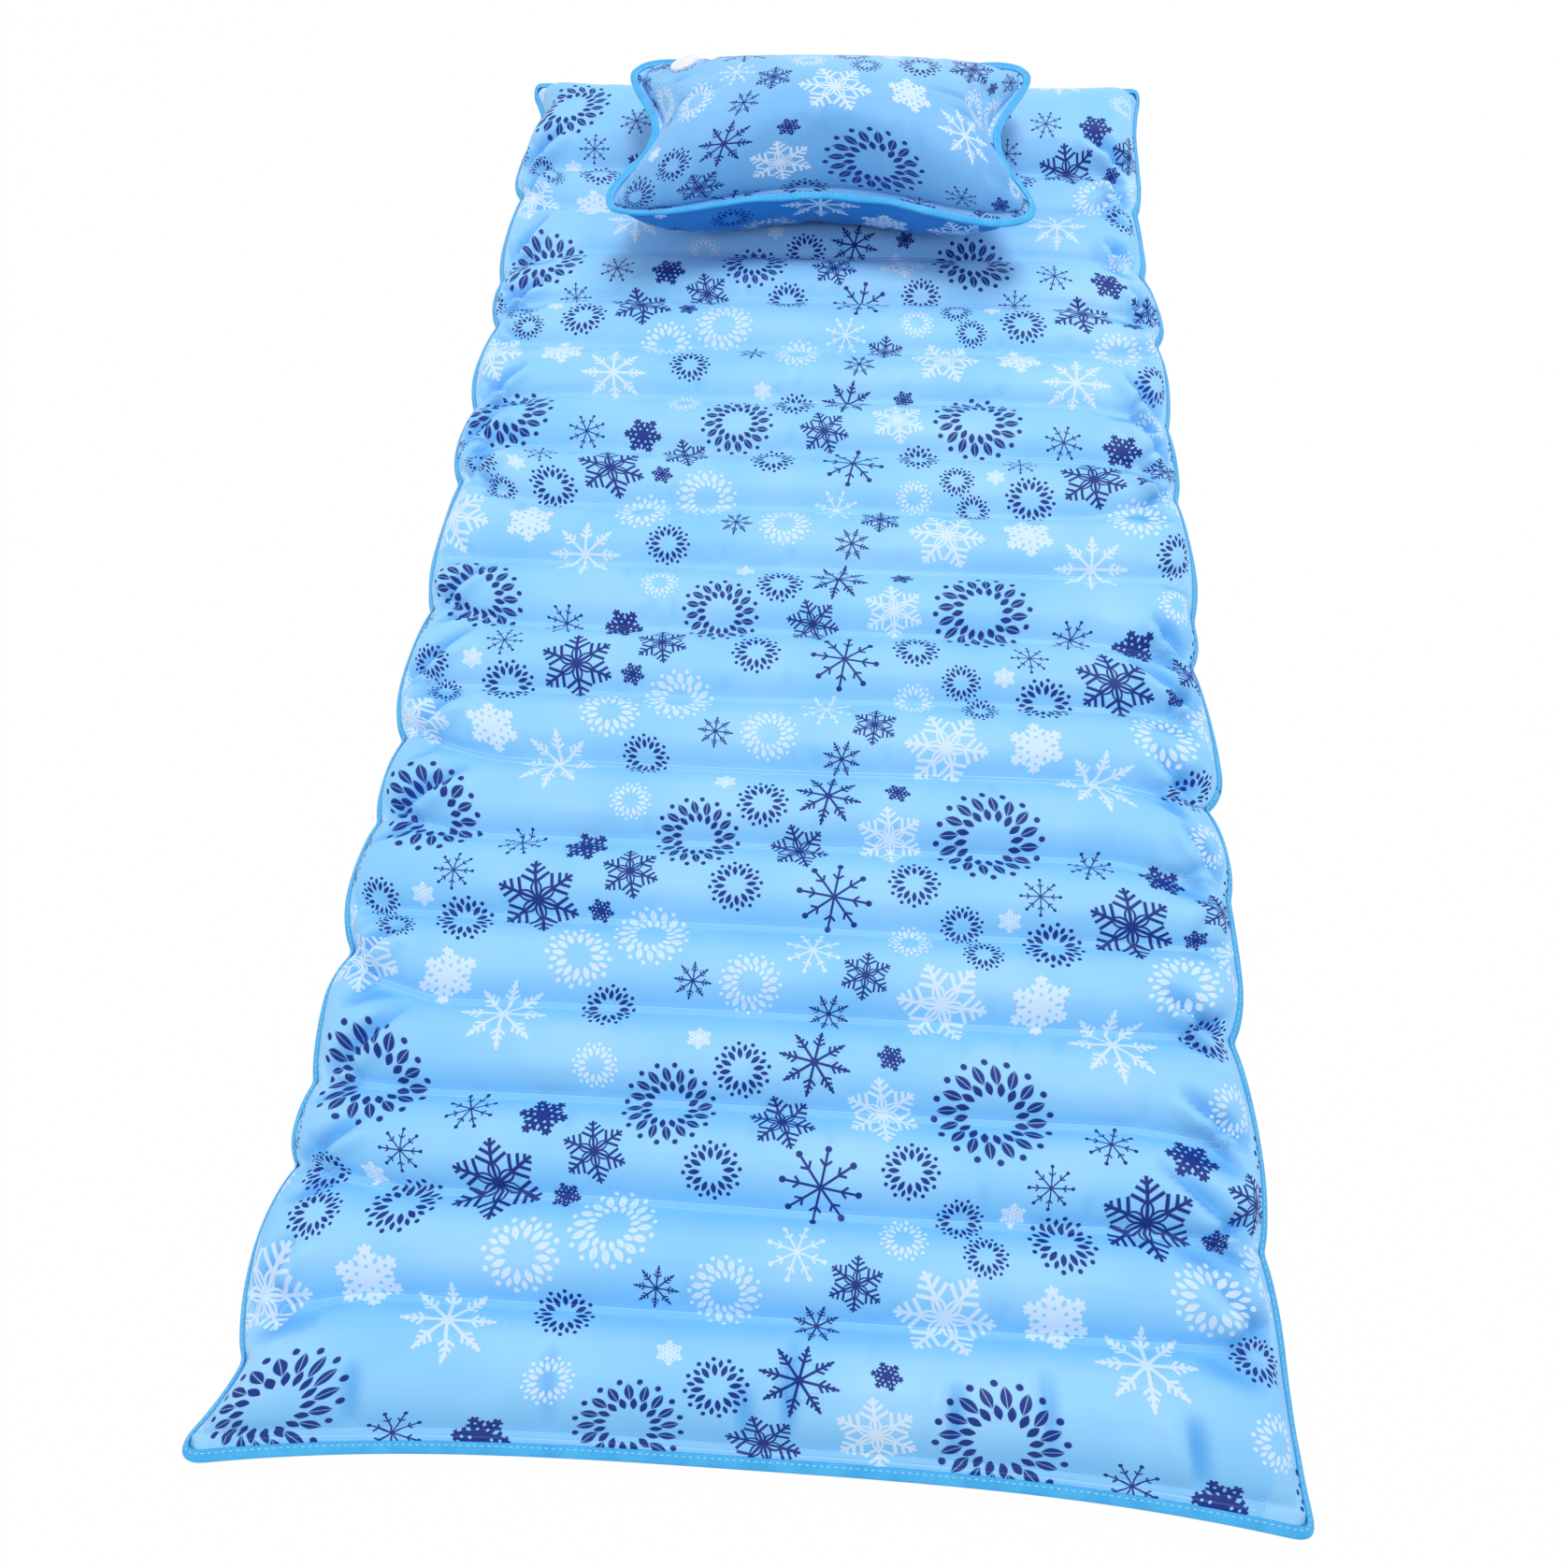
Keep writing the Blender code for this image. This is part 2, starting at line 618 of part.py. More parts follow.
def add_valve(prefix, place, normal, sheet, water, materials, parent):
    # place is on the sheet's outer face, and normal is the valve's axis
    axis = add_frame(prefix + "_axis", place, parent)
    axis.rotation_mode = "QUATERNION"
    axis.rotation_quaternion = Vector((0, 0, 1)).rotation_difference(normal)
    flange_foot = -FLANGE_FACE - FLANGE
    port = [
        (BORE_RADIUS, flange_foot),
        (FLANGE_RADIUS, flange_foot),
        (FLANGE_RADIUS, -FLANGE_FACE),
        (NECK_RADIUS, -FLANGE_FACE),
        (NECK_RADIUS, NECK_RISE),
        (BORE_RADIUS, NECK_RISE),
    ]
    washer_radius = SKIRT_RADIUS - CLEARANCE
    washer_foot = NECK_RISE + CLEARANCE
    washer = [
        (BORE_RADIUS, washer_foot),
        (washer_radius, washer_foot),
        (washer_radius, washer_foot + WASHER),
        (BORE_RADIUS, washer_foot + WASHER),
    ]
    cap = [
        (0, CAP_ROOF),
        (SKIRT_RADIUS, CAP_ROOF),
        (SKIRT_RADIUS, CAP_FOOT_GAP),
        (CAP_RADIUS, CAP_FOOT_GAP),
        (CAP_RADIUS, CAP_HEIGHT - CAP_EDGE),
        (CAP_RADIUS - CAP_EDGE, CAP_HEIGHT),
        (0, CAP_HEIGHT),
    ]
    port_mesh = turned_mesh(prefix + "_port", port, PORT_STEPS)
    add_turned(prefix + "_port", port_mesh, materials["port"], axis)
    washer_mesh = turned_mesh(prefix + "_washer", washer, PORT_STEPS)
    add_turned(prefix + "_washer", washer_mesh, materials["washer"], axis)
    cap_mesh = turned_mesh(prefix + "_cap", cap, 2 * CAP_RIBS, closed=False, rib=CAP_RIB)
    add_turned(prefix + "_cap", cap_mesh, materials["cap"], axis)
    hole_radius = NECK_RADIUS + CLEARANCE
    hole = [(0, flange_foot), (hole_radius, flange_foot), (hole_radius, CUT_OVERRUN), (0, CUT_OVERRUN)]
    hole_mesh = turned_mesh(prefix + "_hole", hole, PORT_STEPS, closed=False)
    cut(sheet, add_cutter(prefix + "_hole", hole_mesh, axis))
    pocket_radius = FLANGE_RADIUS + CLEARANCE
    pocket_foot = flange_foot - CLEARANCE
    pocket = [
        (0, pocket_foot),
        (pocket_radius, pocket_foot),
        (pocket_radius, CUT_OVERRUN),
        (0, CUT_OVERRUN),
    ]
    pocket_mesh = turned_mesh(prefix + "_pocket", pocket, PORT_STEPS, closed=False)
    cut(water, add_cutter(prefix + "_pocket", pocket_mesh, axis))


# Assembly


def build_pad(materials):
    # Returns the empty of the last section, with its top sheet and water
    frame = add_frame("pad_foot_section", (0, 0, 0))
    for section, name in enumerate(SECTION_NAMES):
        if section > 0:
            place = (0, WELD_LINES[BENDS[section]], HINGE_HEIGHT)
            frame = add_frame("pad_" + name + "_section", place, frame)
        sheets = []
        for sheet_name, side in (("top_sheet_", 1), ("bottom_sheet_", -1)):
            mesh_data = pad_sheet_mesh(sheet_name + name, section, side)
            sheets.append(add_object(sheet_name + name, mesh_data, materials["sheet"], frame))
            thicken(sheets[-1])
        mesh_data = pad_water_mesh("water_" + name, section)
        water = add_object("water_" + name, mesh_data, materials["water"], frame)
        half = half_outline(section)
        if section == 0:
            outlines = {"binding_" + name: mirrored_path(half) + half}
        elif section == SECTION_COUNT - 1:
            outlines = {"binding_" + name: half + mirrored_path(half)}
        else:
            outlines = {
                "binding_" + name + "_right": half,
                "binding_" + name + "_left": mirrored_path(half),
            }
        for binding_name, outline in outlines.items():
            mesh_data = binding_mesh(binding_name, outline, WELD_HEIGHT)
            add_object(binding_name, mesh_data, materials["binding"], frame)
    return frame, sheets[0], water


def build_pillow(materials, parent):
    frame = add_frame("pillow_lift", (0, PILLOW_Y, PILLOW_PLANE), parent)
    top, patch = pillow_grid(1)
    bottom, _ = pillow_grid(-1)
    valve_place, valve_normal = flatten(patch)
    panels = []
    for name, rows, side in (("pillow_top_panel", top, 1), ("pillow_bottom_panel", bottom, -1)):
        mesh_data = pillow_panel_mesh(name, rows, side)
        panels.append(add_object(name, mesh_data, materials["sheet"], frame))
        thicken(panels[-1])
    mesh_data = pillow_water_mesh("pillow_water", top, bottom)
    water = add_object("pillow_water", mesh_data, materials["water"], frame)
    rim = [Vector((point.x, point.y)) for point in grid_rim(top)]
    outer = offset_path(rim, -PILLOW_EDGE, True)
    mesh_data = binding_mesh("pillow_binding", outer, PILLOW_PLANE, closed=True)
    add_object("pillow_binding", mesh_data, materials["binding"], frame)
    add_valve("pillow_valve", valve_place, valve_normal, panels[0], water, materials, frame)


def main():
    clear_scene()
    materials = {
        "sheet": make_material("printed_fabric", (0.31, 0.67, 1.0), 0.45),
        "binding": make_material("edge_tape", (0.05, 0.43, 0.87), 0.7),
        "water": make_material("water", (0.75, 0.88, 0.95), 0.05),
        "port": make_material("port_plastic", (0.86, 0.88, 0.9), 0.4),
        "washer": make_material("washer_rubber", (0.8, 0.8, 0.78), 0.8),
        "cap": make_material("cap_plastic", (0.9, 0.92, 0.95), 0.35),
    }
    head, head_sheet, head_water = build_pad(materials)
    middle, _ = chamber_span(LAST)
    spot = drawn_in(PAD_VALVE_X, middle)
    valve_place = (spot.x, spot.y, WELD_HEIGHT + SHEET_FACE + HEAD_CROWN)
    add_valve("pad_valve", valve_place, Vector((0, 0, 1)), head_sheet, head_water, materials, head)
    build_pillow(materials, head)
    print("pad", PAD_LENGTH, "bends at", [round(WELD_LINES[k], 5) for k in BENDS[1:-1]])


main()
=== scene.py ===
import math
import bpy
import numpy as np
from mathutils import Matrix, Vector


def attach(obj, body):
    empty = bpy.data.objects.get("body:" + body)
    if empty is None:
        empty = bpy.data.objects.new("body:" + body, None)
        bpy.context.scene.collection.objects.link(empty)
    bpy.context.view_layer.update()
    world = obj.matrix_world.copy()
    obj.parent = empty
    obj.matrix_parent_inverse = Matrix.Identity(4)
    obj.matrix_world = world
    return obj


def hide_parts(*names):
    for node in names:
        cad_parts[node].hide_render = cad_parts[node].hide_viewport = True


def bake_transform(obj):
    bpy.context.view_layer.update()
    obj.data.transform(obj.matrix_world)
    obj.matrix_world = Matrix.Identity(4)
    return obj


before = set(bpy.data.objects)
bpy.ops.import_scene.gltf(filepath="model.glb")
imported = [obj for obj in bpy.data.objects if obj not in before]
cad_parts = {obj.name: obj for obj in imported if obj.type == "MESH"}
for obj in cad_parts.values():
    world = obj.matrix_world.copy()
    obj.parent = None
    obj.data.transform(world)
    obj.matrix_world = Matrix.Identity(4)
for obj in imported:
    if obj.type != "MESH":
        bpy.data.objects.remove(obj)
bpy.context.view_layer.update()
scene = bpy.context.scene
print("frame loaded,", len(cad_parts), "nodes")


# Helpers

def newObject(name, data):
    obj = bpy.data.objects.new(name, data)
    scene.collection.objects.link(obj)
    return obj


def connect(tree, socket, value):
    if hasattr(value, "is_output"):
        tree.links.new(value, socket)
    else:
        socket.default_value = value


def calc(tree, operation, *values):
    node = tree.nodes.new("ShaderNodeMath")
    node.operation = operation
    for socket, value in zip(node.inputs, values):
        connect(tree, socket, value)
    return node.outputs[0]


def vectorCalc(tree, operation, *values, scale=None):
    node = tree.nodes.new("ShaderNodeVectorMath")
    node.operation = operation
    for socket, value in zip(node.inputs, values):
        connect(tree, socket, value)
    if scale is not None:
        connect(tree, node.inputs["Scale"], scale)
    return node.outputs["Value"] if operation == "LENGTH" else node.outputs[0]


def remap(tree, value, low, high, toLow=0.0, toHigh=1.0):
    node = tree.nodes.new("ShaderNodeMapRange")
    for name, given in (("Value", value), ("From Min", low), ("From Max", high),
                        ("To Min", toLow), ("To Max", toHigh)):
        connect(tree, node.inputs[name], given)
    return node.outputs["Result"]


def mixColour(tree, share, first, second):
    node = tree.nodes.new("ShaderNodeMix")
    node.data_type = "RGBA"
    connect(tree, node.inputs["Factor"], share)
    connect(tree, node.inputs[6], first)
    connect(tree, node.inputs[7], second)
    return node.outputs[2]


def noise(tree, vector, scale, detail=2.0, roughness=0.5):
    node = tree.nodes.new("ShaderNodeTexNoise")
    connect(tree, node.inputs["Vector"], vector)
    node.inputs["Scale"].default_value = scale
    node.inputs["Detail"].default_value = detail
    node.inputs["Roughness"].default_value = roughness
    return node.outputs[0]


def bump(tree, height, strength, distance, normal=None):
    node = tree.nodes.new("ShaderNodeBump")
    node.inputs["Strength"].default_value = strength
    node.inputs["Distance"].default_value = distance
    tree.links.new(height, node.inputs["Height"])
    if normal is not None:
        tree.links.new(normal, node.inputs["Normal"])
    return node.outputs["Normal"]


def uvMap(tree, name):
    node = tree.nodes.new("ShaderNodeUVMap")
    node.uv_map = name
    return node.outputs["UV"]


def objectPlace(tree):
    return tree.nodes.new("ShaderNodeTexCoord").outputs["Object"]


def splitXYZ(tree, vector):
    node = tree.nodes.new("ShaderNodeSeparateXYZ")
    tree.links.new(vector, node.inputs[0])
    return node.outputs[0], node.outputs[1], node.outputs[2]


def screen(red, green, blue):
    # a screen colour, 0 to 255, as the shader takes it
    parts = [c / 255 for c in (red, green, blue)]
    return tuple(c / 12.92 if c <= 0.04045 else ((c + 0.055) / 1.055) ** 2.4 for c in parts) + (1.0,)


def newMaterial(name, **values):
    material = bpy.data.materials.new(name)
    material.use_nodes = True
    tree = material.node_tree
    shader = tree.nodes["Principled BSDF"]
    for key, value in values.items():
        shader.inputs[key.replace("_", " ")].default_value = value
    return material, tree, shader


# The winter print: each motif is a node group that draws one flake or ring of radius 1

def fold(tree, radius, angle, arms, shift=0.0):
    # one arm's coordinates, along it and across it
    turned = calc(tree, "WRAP", calc(tree, "ADD", angle, shift), math.pi / arms, -math.pi / arms)
    along = calc(tree, "MULTIPLY", radius, calc(tree, "COSINE", turned))
    return along, calc(tree, "MULTIPLY", radius, calc(tree, "SINE", turned))


def leafShape(tree, along, across, at, length, width, lean=0.0, slit=0.0):
    # a leaf with pointed ends and a light midrib; below zero inside
    c, s = math.cos(lean), math.sin(lean)
    u = calc(tree, "ADD", calc(tree, "MULTIPLY_ADD", along, c, -at * c),
             calc(tree, "MULTIPLY", across, s))
    w = calc(tree, "ADD", calc(tree, "MULTIPLY_ADD", along, -s, at * s),
             calc(tree, "MULTIPLY", across, c))
    side = calc(tree, "ABSOLUTE", w)
    bulge = calc(tree, "MULTIPLY", calc(tree, "MULTIPLY", u, u), width / length ** 2)
    shape = calc(tree, "SUBTRACT", calc(tree, "ADD", side, bulge), width)
    if slit:
        shape = calc(tree, "MAXIMUM", shape, calc(tree, "SUBTRACT", slit, side))
    return shape


def barShape(tree, along, side, start, length, angle, width):
    c, s = math.cos(angle), math.sin(angle)
    u = calc(tree, "ADD", calc(tree, "MULTIPLY_ADD", along, c, -start * c),
             calc(tree, "MULTIPLY", side, s))
    w = calc(tree, "ADD", calc(tree, "MULTIPLY_ADD", along, -s, start * s),
             calc(tree, "MULTIPLY", side, c))
    ends = calc(tree, "SUBTRACT", calc(tree, "ABSOLUTE", calc(tree, "SUBTRACT", u, length / 2)),
                length / 2)
    return calc(tree, "MAXIMUM", calc(tree, "SUBTRACT", calc(tree, "ABSOLUTE", w), width), ends)


def dotShape(tree, along, side, at, radius):
    x = calc(tree, "SUBTRACT", along, at)
    far = calc(tree, "SQRT", calc(tree, "MULTIPLY_ADD", x, x, calc(tree, "MULTIPLY", side, side)))
    return calc(tree, "SUBTRACT", far, radius)


def union(tree, *shapes):
    whole = shapes[0]
    for shape in shapes[1:]:
        whole = calc(tree, "MINIMUM", whole, shape)
    return whole


def leafRing(tree, radius, angle):
    outer = fold(tree, radius, angle, 16)
    inner = fold(tree, radius, angle, 16, math.pi / 16)
    return union(tree, leafShape(tree, *outer, 0.73, 0.175, 0.085, 0.2, 0.006),
                 leafShape(tree, *inner, 0.5, 0.12, 0.062, 0.2),
                 dotShape(tree, *inner, 0.94, 0.055))


def petalRing(tree, radius, angle):
    petals = fold(tree, radius, angle, 12)
    between = fold(tree, radius, angle, 12, math.pi / 12)
    return union(tree, leafShape(tree, *petals, 0.57, 0.2, 0.085, 0.0),
                 dotShape(tree, *petals, 0.92, 0.07),
                 leafShape(tree, *between, 0.76, 0.14, 0.065, 0.0))


def branchFlake(tree, radius, angle):
    along, across = fold(tree, radius, angle, 6)
    side = calc(tree, "ABSOLUTE", across)
    petal = calc(tree, "SUBTRACT", calc(tree, "ABSOLUTE",
                                        leafShape(tree, along, side, 0.27, 0.22, 0.11)), 0.026)
    return union(tree, barShape(tree, along, side, 0.0, 0.97, 0.0, 0.038),
                 barShape(tree, along, side, 0.42, 0.38, 1.0, 0.038),
                 barShape(tree, along, side, 0.62, 0.27, 0.95, 0.036),
                 barShape(tree, along, side, 0.8, 0.15, 0.9, 0.033), petal)


def featherFlake(tree, radius, angle):
    along, across = fold(tree, radius, angle, 8)
    side = calc(tree, "ABSOLUTE", across)
    slant, gap = 0.9, 0.16
    lean = calc(tree, "MULTIPLY_ADD", side, -1 / math.tan(slant), along)
    barb = calc(tree, "ABSOLUTE", calc(tree, "WRAP", lean, gap / 2, -gap / 2))
    barb = calc(tree, "MULTIPLY_ADD", barb, math.sin(slant), -0.032)
    reach = calc(tree, "SUBTRACT", side, calc(tree, "MULTIPLY", calc(tree, "SUBTRACT", 1.0, along),
                                              0.42))
    barb = calc(tree, "MAXIMUM", barb, calc(tree, "MAXIMUM", reach,
                                            calc(tree, "SUBTRACT", 0.36, lean)))
    return union(tree, barb, barShape(tree, along, side, 0.0, 0.97, 0.0, 0.036),
                 dotShape(tree, along, side, 0.0, 0.12))


def ballFlake(tree, radius, angle):
    along, across = fold(tree, radius, angle, 8)
    side = calc(tree, "ABSOLUTE", across)
    return union(tree, barShape(tree, along, side, 0.0, 0.85, 0.0, 0.03),
                 barShape(tree, along, side, 0.5, 0.19, 0.8, 0.03),
                 dotShape(tree, along, side, 0.9, 0.08))


def solidFlake(tree, radius, angle):
    along, across = fold(tree, radius, angle, 6)
    side = calc(tree, "ABSOLUTE", across)
    body = union(tree, leafShape(tree, along, side, 0.4, 0.56, 0.2),
                 barShape(tree, along, side, 0.42, 0.36, 0.95, 0.065),
                 barShape(tree, along, side, 0.7, 0.22, 0.85, 0.055))
    holes = union(tree, dotShape(tree, along, side, 0.34, 0.055),
                  dotShape(tree, along, side, 0.6, 0.05))
    return calc(tree, "MAXIMUM", body, calc(tree, "MULTIPLY", holes, -1.0))


def motifGroup(draw):
    tree = bpy.data.node_groups.new(draw.__name__, "ShaderNodeTree")
    tree.interface.new_socket("Place", in_out="INPUT", socket_type="NodeSocketVector")
    tree.interface.new_socket("Turn", in_out="INPUT", socket_type="NodeSocketFloat")
    tree.interface.new_socket("Mark", in_out="OUTPUT", socket_type="NodeSocketFloat")
    inside, outside = tree.nodes.new("NodeGroupInput"), tree.nodes.new("NodeGroupOutput")
    radius = vectorCalc(tree, "LENGTH", inside.outputs["Place"])
    x, y, _ = splitXYZ(tree, inside.outputs["Place"])
    angle = calc(tree, "ADD", calc(tree, "ARCTAN2", y, x), inside.outputs["Turn"])
    shape = draw(tree, radius, angle)
    tree.links.new(remap(tree, shape, 0.01, -0.007), outside.inputs["Mark"])
    return tree


# Each layer repeats two motifs on a lattice: cell size, where the lattice starts, and for each
# motif its colour, its place in the cell, its radius and its turn, all in metres
printLayers = [
    (leafRing, (0.22, 0.24), (0.0525, 0.096), ("navy", (0.0102, 0.0205), 0.042, 0.1),
     ("navy", (0.0066, 0.0127), 0.034, 0.3)),
    (petalRing, (0.22, 0.12), (0.2603, 0.0475), ("navy", (-0.0325, -0.039), 0.02, 0.0),
     ("white", (-0.0349, 0.0301), 0.017, 0.2)),
    (branchFlake, (0.22, 0.24), (0.1788, 0.1959), ("navy", (-0.0123, 0.086), 0.033, 0.35),
     ("white", (0.072, 0.0091), 0.034, 0.1)),
    (featherFlake, (0.22, 0.24), (0.3969, 0.0015), ("navy", (-0.0165, -0.093), 0.026, 0.2),
     ("white", (-0.0225, -0.0647), 0.032, 0.0)),
    (ballFlake, (0.22, 0.24), (0.3878, 0.2346), ("navy", (0.0008, 0.0597), 0.029, 0.15),
     ("navy", (-0.0272, 0.101), 0.018, 0.3)),
    (solidFlake, (0.22, 0.24), (0.063, 0.0321), ("white", (0.0377, -0.0637), 0.024, 0.4),
     ("navy", (-0.09, 0.061), 0.019, 0.1)),
    (leafRing, (0.22, 0.24), (0.1758, 0.2015), ("white", (0.078, 0.0505), 0.029, 0.0),
     ("white", (-0.0655, 0.0118), 0.024, 0.2)),
    (solidFlake, (0.22, 0.12), (0.2758, 0.0881), ("navy", (-0.0618, 0.007), 0.011, 0.2),
     ("white", (0.0224, 0.0136), 0.01, 0.5)),
    (petalRing, (0.22, 0.24), (0.136, 0.0085), ("navy", (-0.0925, 0.0275), 0.0165, 0.25),
     ("navy", (-0.0413, 0.0517), 0.021, 0.4)),
    (branchFlake, (0.22, 0.24), (0.2885, 0.0862), ("navy", (0.0716, 0.0143), 0.024, 0.2),
     ("white", (-0.0802, 0.0284), 0.027, 0.4)),
    (ballFlake, (0.22, 0.24), (0.119, 0.2294), ("navy", (-0.0186, 0.0726), 0.016, 0.0),
     ("white", (0.0363, 0.0131), 0.021, 0.3)),
    (featherFlake, (0.22, 0.24), (0.0235, 0.225), ("navy", (-0.0738, -0.0317), 0.016, 0.3),
     ("navy", (0.0433, -0.0118), 0.015, 0.1)),
    (petalRing, (0.22, 0.24), (0.229, 0.003), ("white", (-0.03, -0.0139), 0.026, 0.1),
     ("navy", (0.0492, 0.0044), 0.0155, 0.4)),
    (petalRing, (0.22, 0.24), (0.11, -0.04), ("navy", (0.0, 0.06), 0.023, 0.15),
     ("navy", (0.0, -0.06), 0.021, 0.35)),
    (branchFlake, (0.22, 0.24), (0.214, 0.026), ("navy", (0.02, 0.042), 0.0235, 0.3),
     ("navy", (-0.02, -0.042), 0.0195, 0.6)),
]


def printGroup():
    groups = {}
    tree = bpy.data.node_groups.new("winterPrint", "ShaderNodeTree")
    tree.interface.new_socket("Cloth", in_out="INPUT", socket_type="NodeSocketVector")
    for name in ("Navy", "White"):
        tree.interface.new_socket(name, in_out="OUTPUT", socket_type="NodeSocketFloat")
    inside, outside = tree.nodes.new("NodeGroupInput"), tree.nodes.new("NodeGroupOutput")
    marks = {"navy": [], "white": []}
    for draw, cell, start, even, odd in printLayers:
        groups.setdefault(draw, None)
        groups[draw] = groups[draw] or motifGroup(draw)
        moved = vectorCalc(tree, "SUBTRACT", inside.outputs["Cloth"], (start[0], start[1], 0.0))
        cells = vectorCalc(tree, "FLOOR", vectorCalc(tree, "DIVIDE", moved,
                                                     (cell[0], cell[1], 1.0)))
        corner = vectorCalc(tree, "MULTIPLY", cells, (cell[0], cell[1], 0.0))
        local = vectorCalc(tree, "SUBTRACT", vectorCalc(tree, "SUBTRACT", moved, corner),
                           (cell[0] / 2, cell[1] / 2, 0.0))
        column, row, _ = splitXYZ(tree, cells)
        if cell[1] < 0.2:
            column = calc(tree, "ADD", column, row)
        parity = calc(tree, "FLOORED_MODULO", column, 2.0)
        step = [odd[1][k] - even[1][k] for k in (0, 1)]
        place = vectorCalc(tree, "SUBTRACT", local, (even[1][0], even[1][1], 0.0))
        place = vectorCalc(tree, "SUBTRACT", place,
                           vectorCalc(tree, "SCALE", (step[0], step[1], 0.0), scale=parity))
        grow = calc(tree, "MULTIPLY_ADD", parity, 1 / odd[2] - 1 / even[2], 1 / even[2])
        node = tree.nodes.new("ShaderNodeGroup")
        node.node_tree = groups[draw]
        tree.links.new(vectorCalc(tree, "SCALE", place, scale=grow), node.inputs["Place"])
        tree.links.new(calc(tree, "MULTIPLY_ADD", parity, odd[3] - even[3], even[3]),
                       node.inputs["Turn"])
        mark = node.outputs["Mark"]
        if even[0] == odd[0]:
            marks[even[0]].append(mark)
        else:
            marks[odd[0]].append(calc(tree, "MULTIPLY", mark, parity))
            marks[even[0]].append(calc(tree, "MULTIPLY", mark, calc(tree, "SUBTRACT", 1.0, parity)))
    for name, socket in (("navy", "Navy"), ("white", "White")):
        whole = marks[name][0]
        for mark in marks[name][1:]:
            whole = calc(tree, "MAXIMUM", whole, mark)
        tree.links.new(whole, outside.inputs[socket])
    return tree


winterPrint = printGroup()
print("print drawn,", len(printLayers), "layers")


# Fabrics, tape, thread and plastics

clothLook = {"border": (186, 229, 255), "white": (222, 238, 255), "navy": (0, 36, 130),
             "weldLine": (206, 237, 255), "whiteCover": 0.76, "navyCover": 0.98,
             "warp": 0.0007, "weft": 0.0009}


def makeCloth(name, light, deep, paintedShade, shiftPrint, printSize):
    # coated satin cloth; UV map "cloth" holds metres of flat cloth, "weld" the distances to the
    # nearest weld and to the cloth's edge, and "fold" the depth of folds and of painted shade. The deep
    # colour is a tone the cloth takes at random and also the painted shade near welds; the third
    # colour is the painted shade in folds and on shaded parts
    material, tree, shader = newMaterial(name, Roughness=0.41, Sheen_Weight=0.04,
                                         Sheen_Roughness=0.35,
                                         Sheen_Tint=screen(215, 238, 255), Specular_IOR_Level=0.24)
    cloth = uvMap(tree, "cloth")
    weldAway, edgeAway, _ = splitXYZ(tree, uvMap(tree, "weld"))
    art = tree.nodes.new("ShaderNodeGroup")
    art.node_tree = winterPrint
    placed = vectorCalc(tree, "ADD", vectorCalc(tree, "SCALE", cloth, scale=1 / printSize),
                        (shiftPrint[0], shiftPrint[1], 0.0))
    tree.links.new(placed, art.inputs["Cloth"])
    shade = noise(tree, cloth, 9.0, 3.0)
    base = mixColour(tree, remap(tree, shade, 0.35, 0.65, 0.0, 0.6), screen(*light), screen(*deep))
    u, v, _ = splitXYZ(tree, cloth)
    # painted shade: near each weld the cloth takes the deep colour, strongest at the foot end and faint over
    # the head half, for the shade on the slopes beside the welds
    depth = calc(tree, "MULTIPLY", remap(tree, weldAway, 0.024, 0.002),
                 remap(tree, v, -0.55, 0.0, 0.95, 0.12))
    folds, shaded, _ = splitXYZ(tree, uvMap(tree, "fold"))
    base = mixColour(tree, depth, base, screen(*deep))
    # painted shade: fold valleys, and the parts given painted shade in the fold map, take the painted shade
    # colour
    base = mixColour(tree, calc(tree, "MAXIMUM", shaded, remap(tree, folds, 0.05, 0.8, 0.0, 0.85)),
                     base, screen(*paintedShade))
    paleBorder = remap(tree, edgeAway, 0.0155, 0.0135, 0.0, 0.12)   # paler along the welded border
    base = mixColour(tree, paleBorder, base, screen(*clothLook["border"]))
    base = mixColour(tree, calc(tree, "MULTIPLY", art.outputs["White"], clothLook["whiteCover"]),
                     base, screen(*clothLook["white"]))
    base = mixColour(tree, calc(tree, "MULTIPLY", art.outputs["Navy"], clothLook["navyCover"]),
                     base, screen(*clothLook["navy"]))
    line = calc(tree, "ABSOLUTE", calc(tree, "SUBTRACT", weldAway, 0.002))
    line = remap(tree, line, 0.0009, 0.0002)
    ink = calc(tree, "MAXIMUM", art.outputs["White"], art.outputs["Navy"])
    base = mixColour(tree, calc(tree, "MULTIPLY", line, remap(tree, ink, 0.0, 1.0, 0.24, 0.05)),
                     base, screen(*clothLook["weldLine"]))
    tree.links.new(base, shader.inputs["Base Color"])
    tree.links.new(calc(tree, "ADD", remap(tree, shade, 0.3, 0.7, 0.37, 0.45),
                        calc(tree, "MULTIPLY", ink, 0.08)),
                   shader.inputs["Roughness"])
    warp = calc(tree, "SINE", calc(tree, "MULTIPLY", u, 2 * math.pi / clothLook["warp"]))
    weft = calc(tree, "SINE", calc(tree, "MULTIPLY", calc(tree, "MULTIPLY_ADD", u, 0.5, v),
                                   2 * math.pi / clothLook["weft"]))
    weave = calc(tree, "MULTIPLY", warp, weft)
    normal = bump(tree, weave, 0.12, 0.00012)
    normal = bump(tree, line, 0.7, -0.0004, normal)
    stretched = vectorCalc(tree, "MULTIPLY", cloth, (1.0, 0.4, 1.0))
    pucker = calc(tree, "MULTIPLY", noise(tree, stretched, 85.0, 2.0),
                  calc(tree, "MAXIMUM", remap(tree, weldAway, 0.022, 0.003),
                       remap(tree, edgeAway, 0.05, 0.012)))
    normal = bump(tree, pucker, 0.5, 0.002, normal)
    normal = bump(tree, noise(tree, cloth, 30.0, 3.0, 0.5), 0.25, 0.0011, normal)
    tree.links.new(normal, shader.inputs["Normal"])
    return material


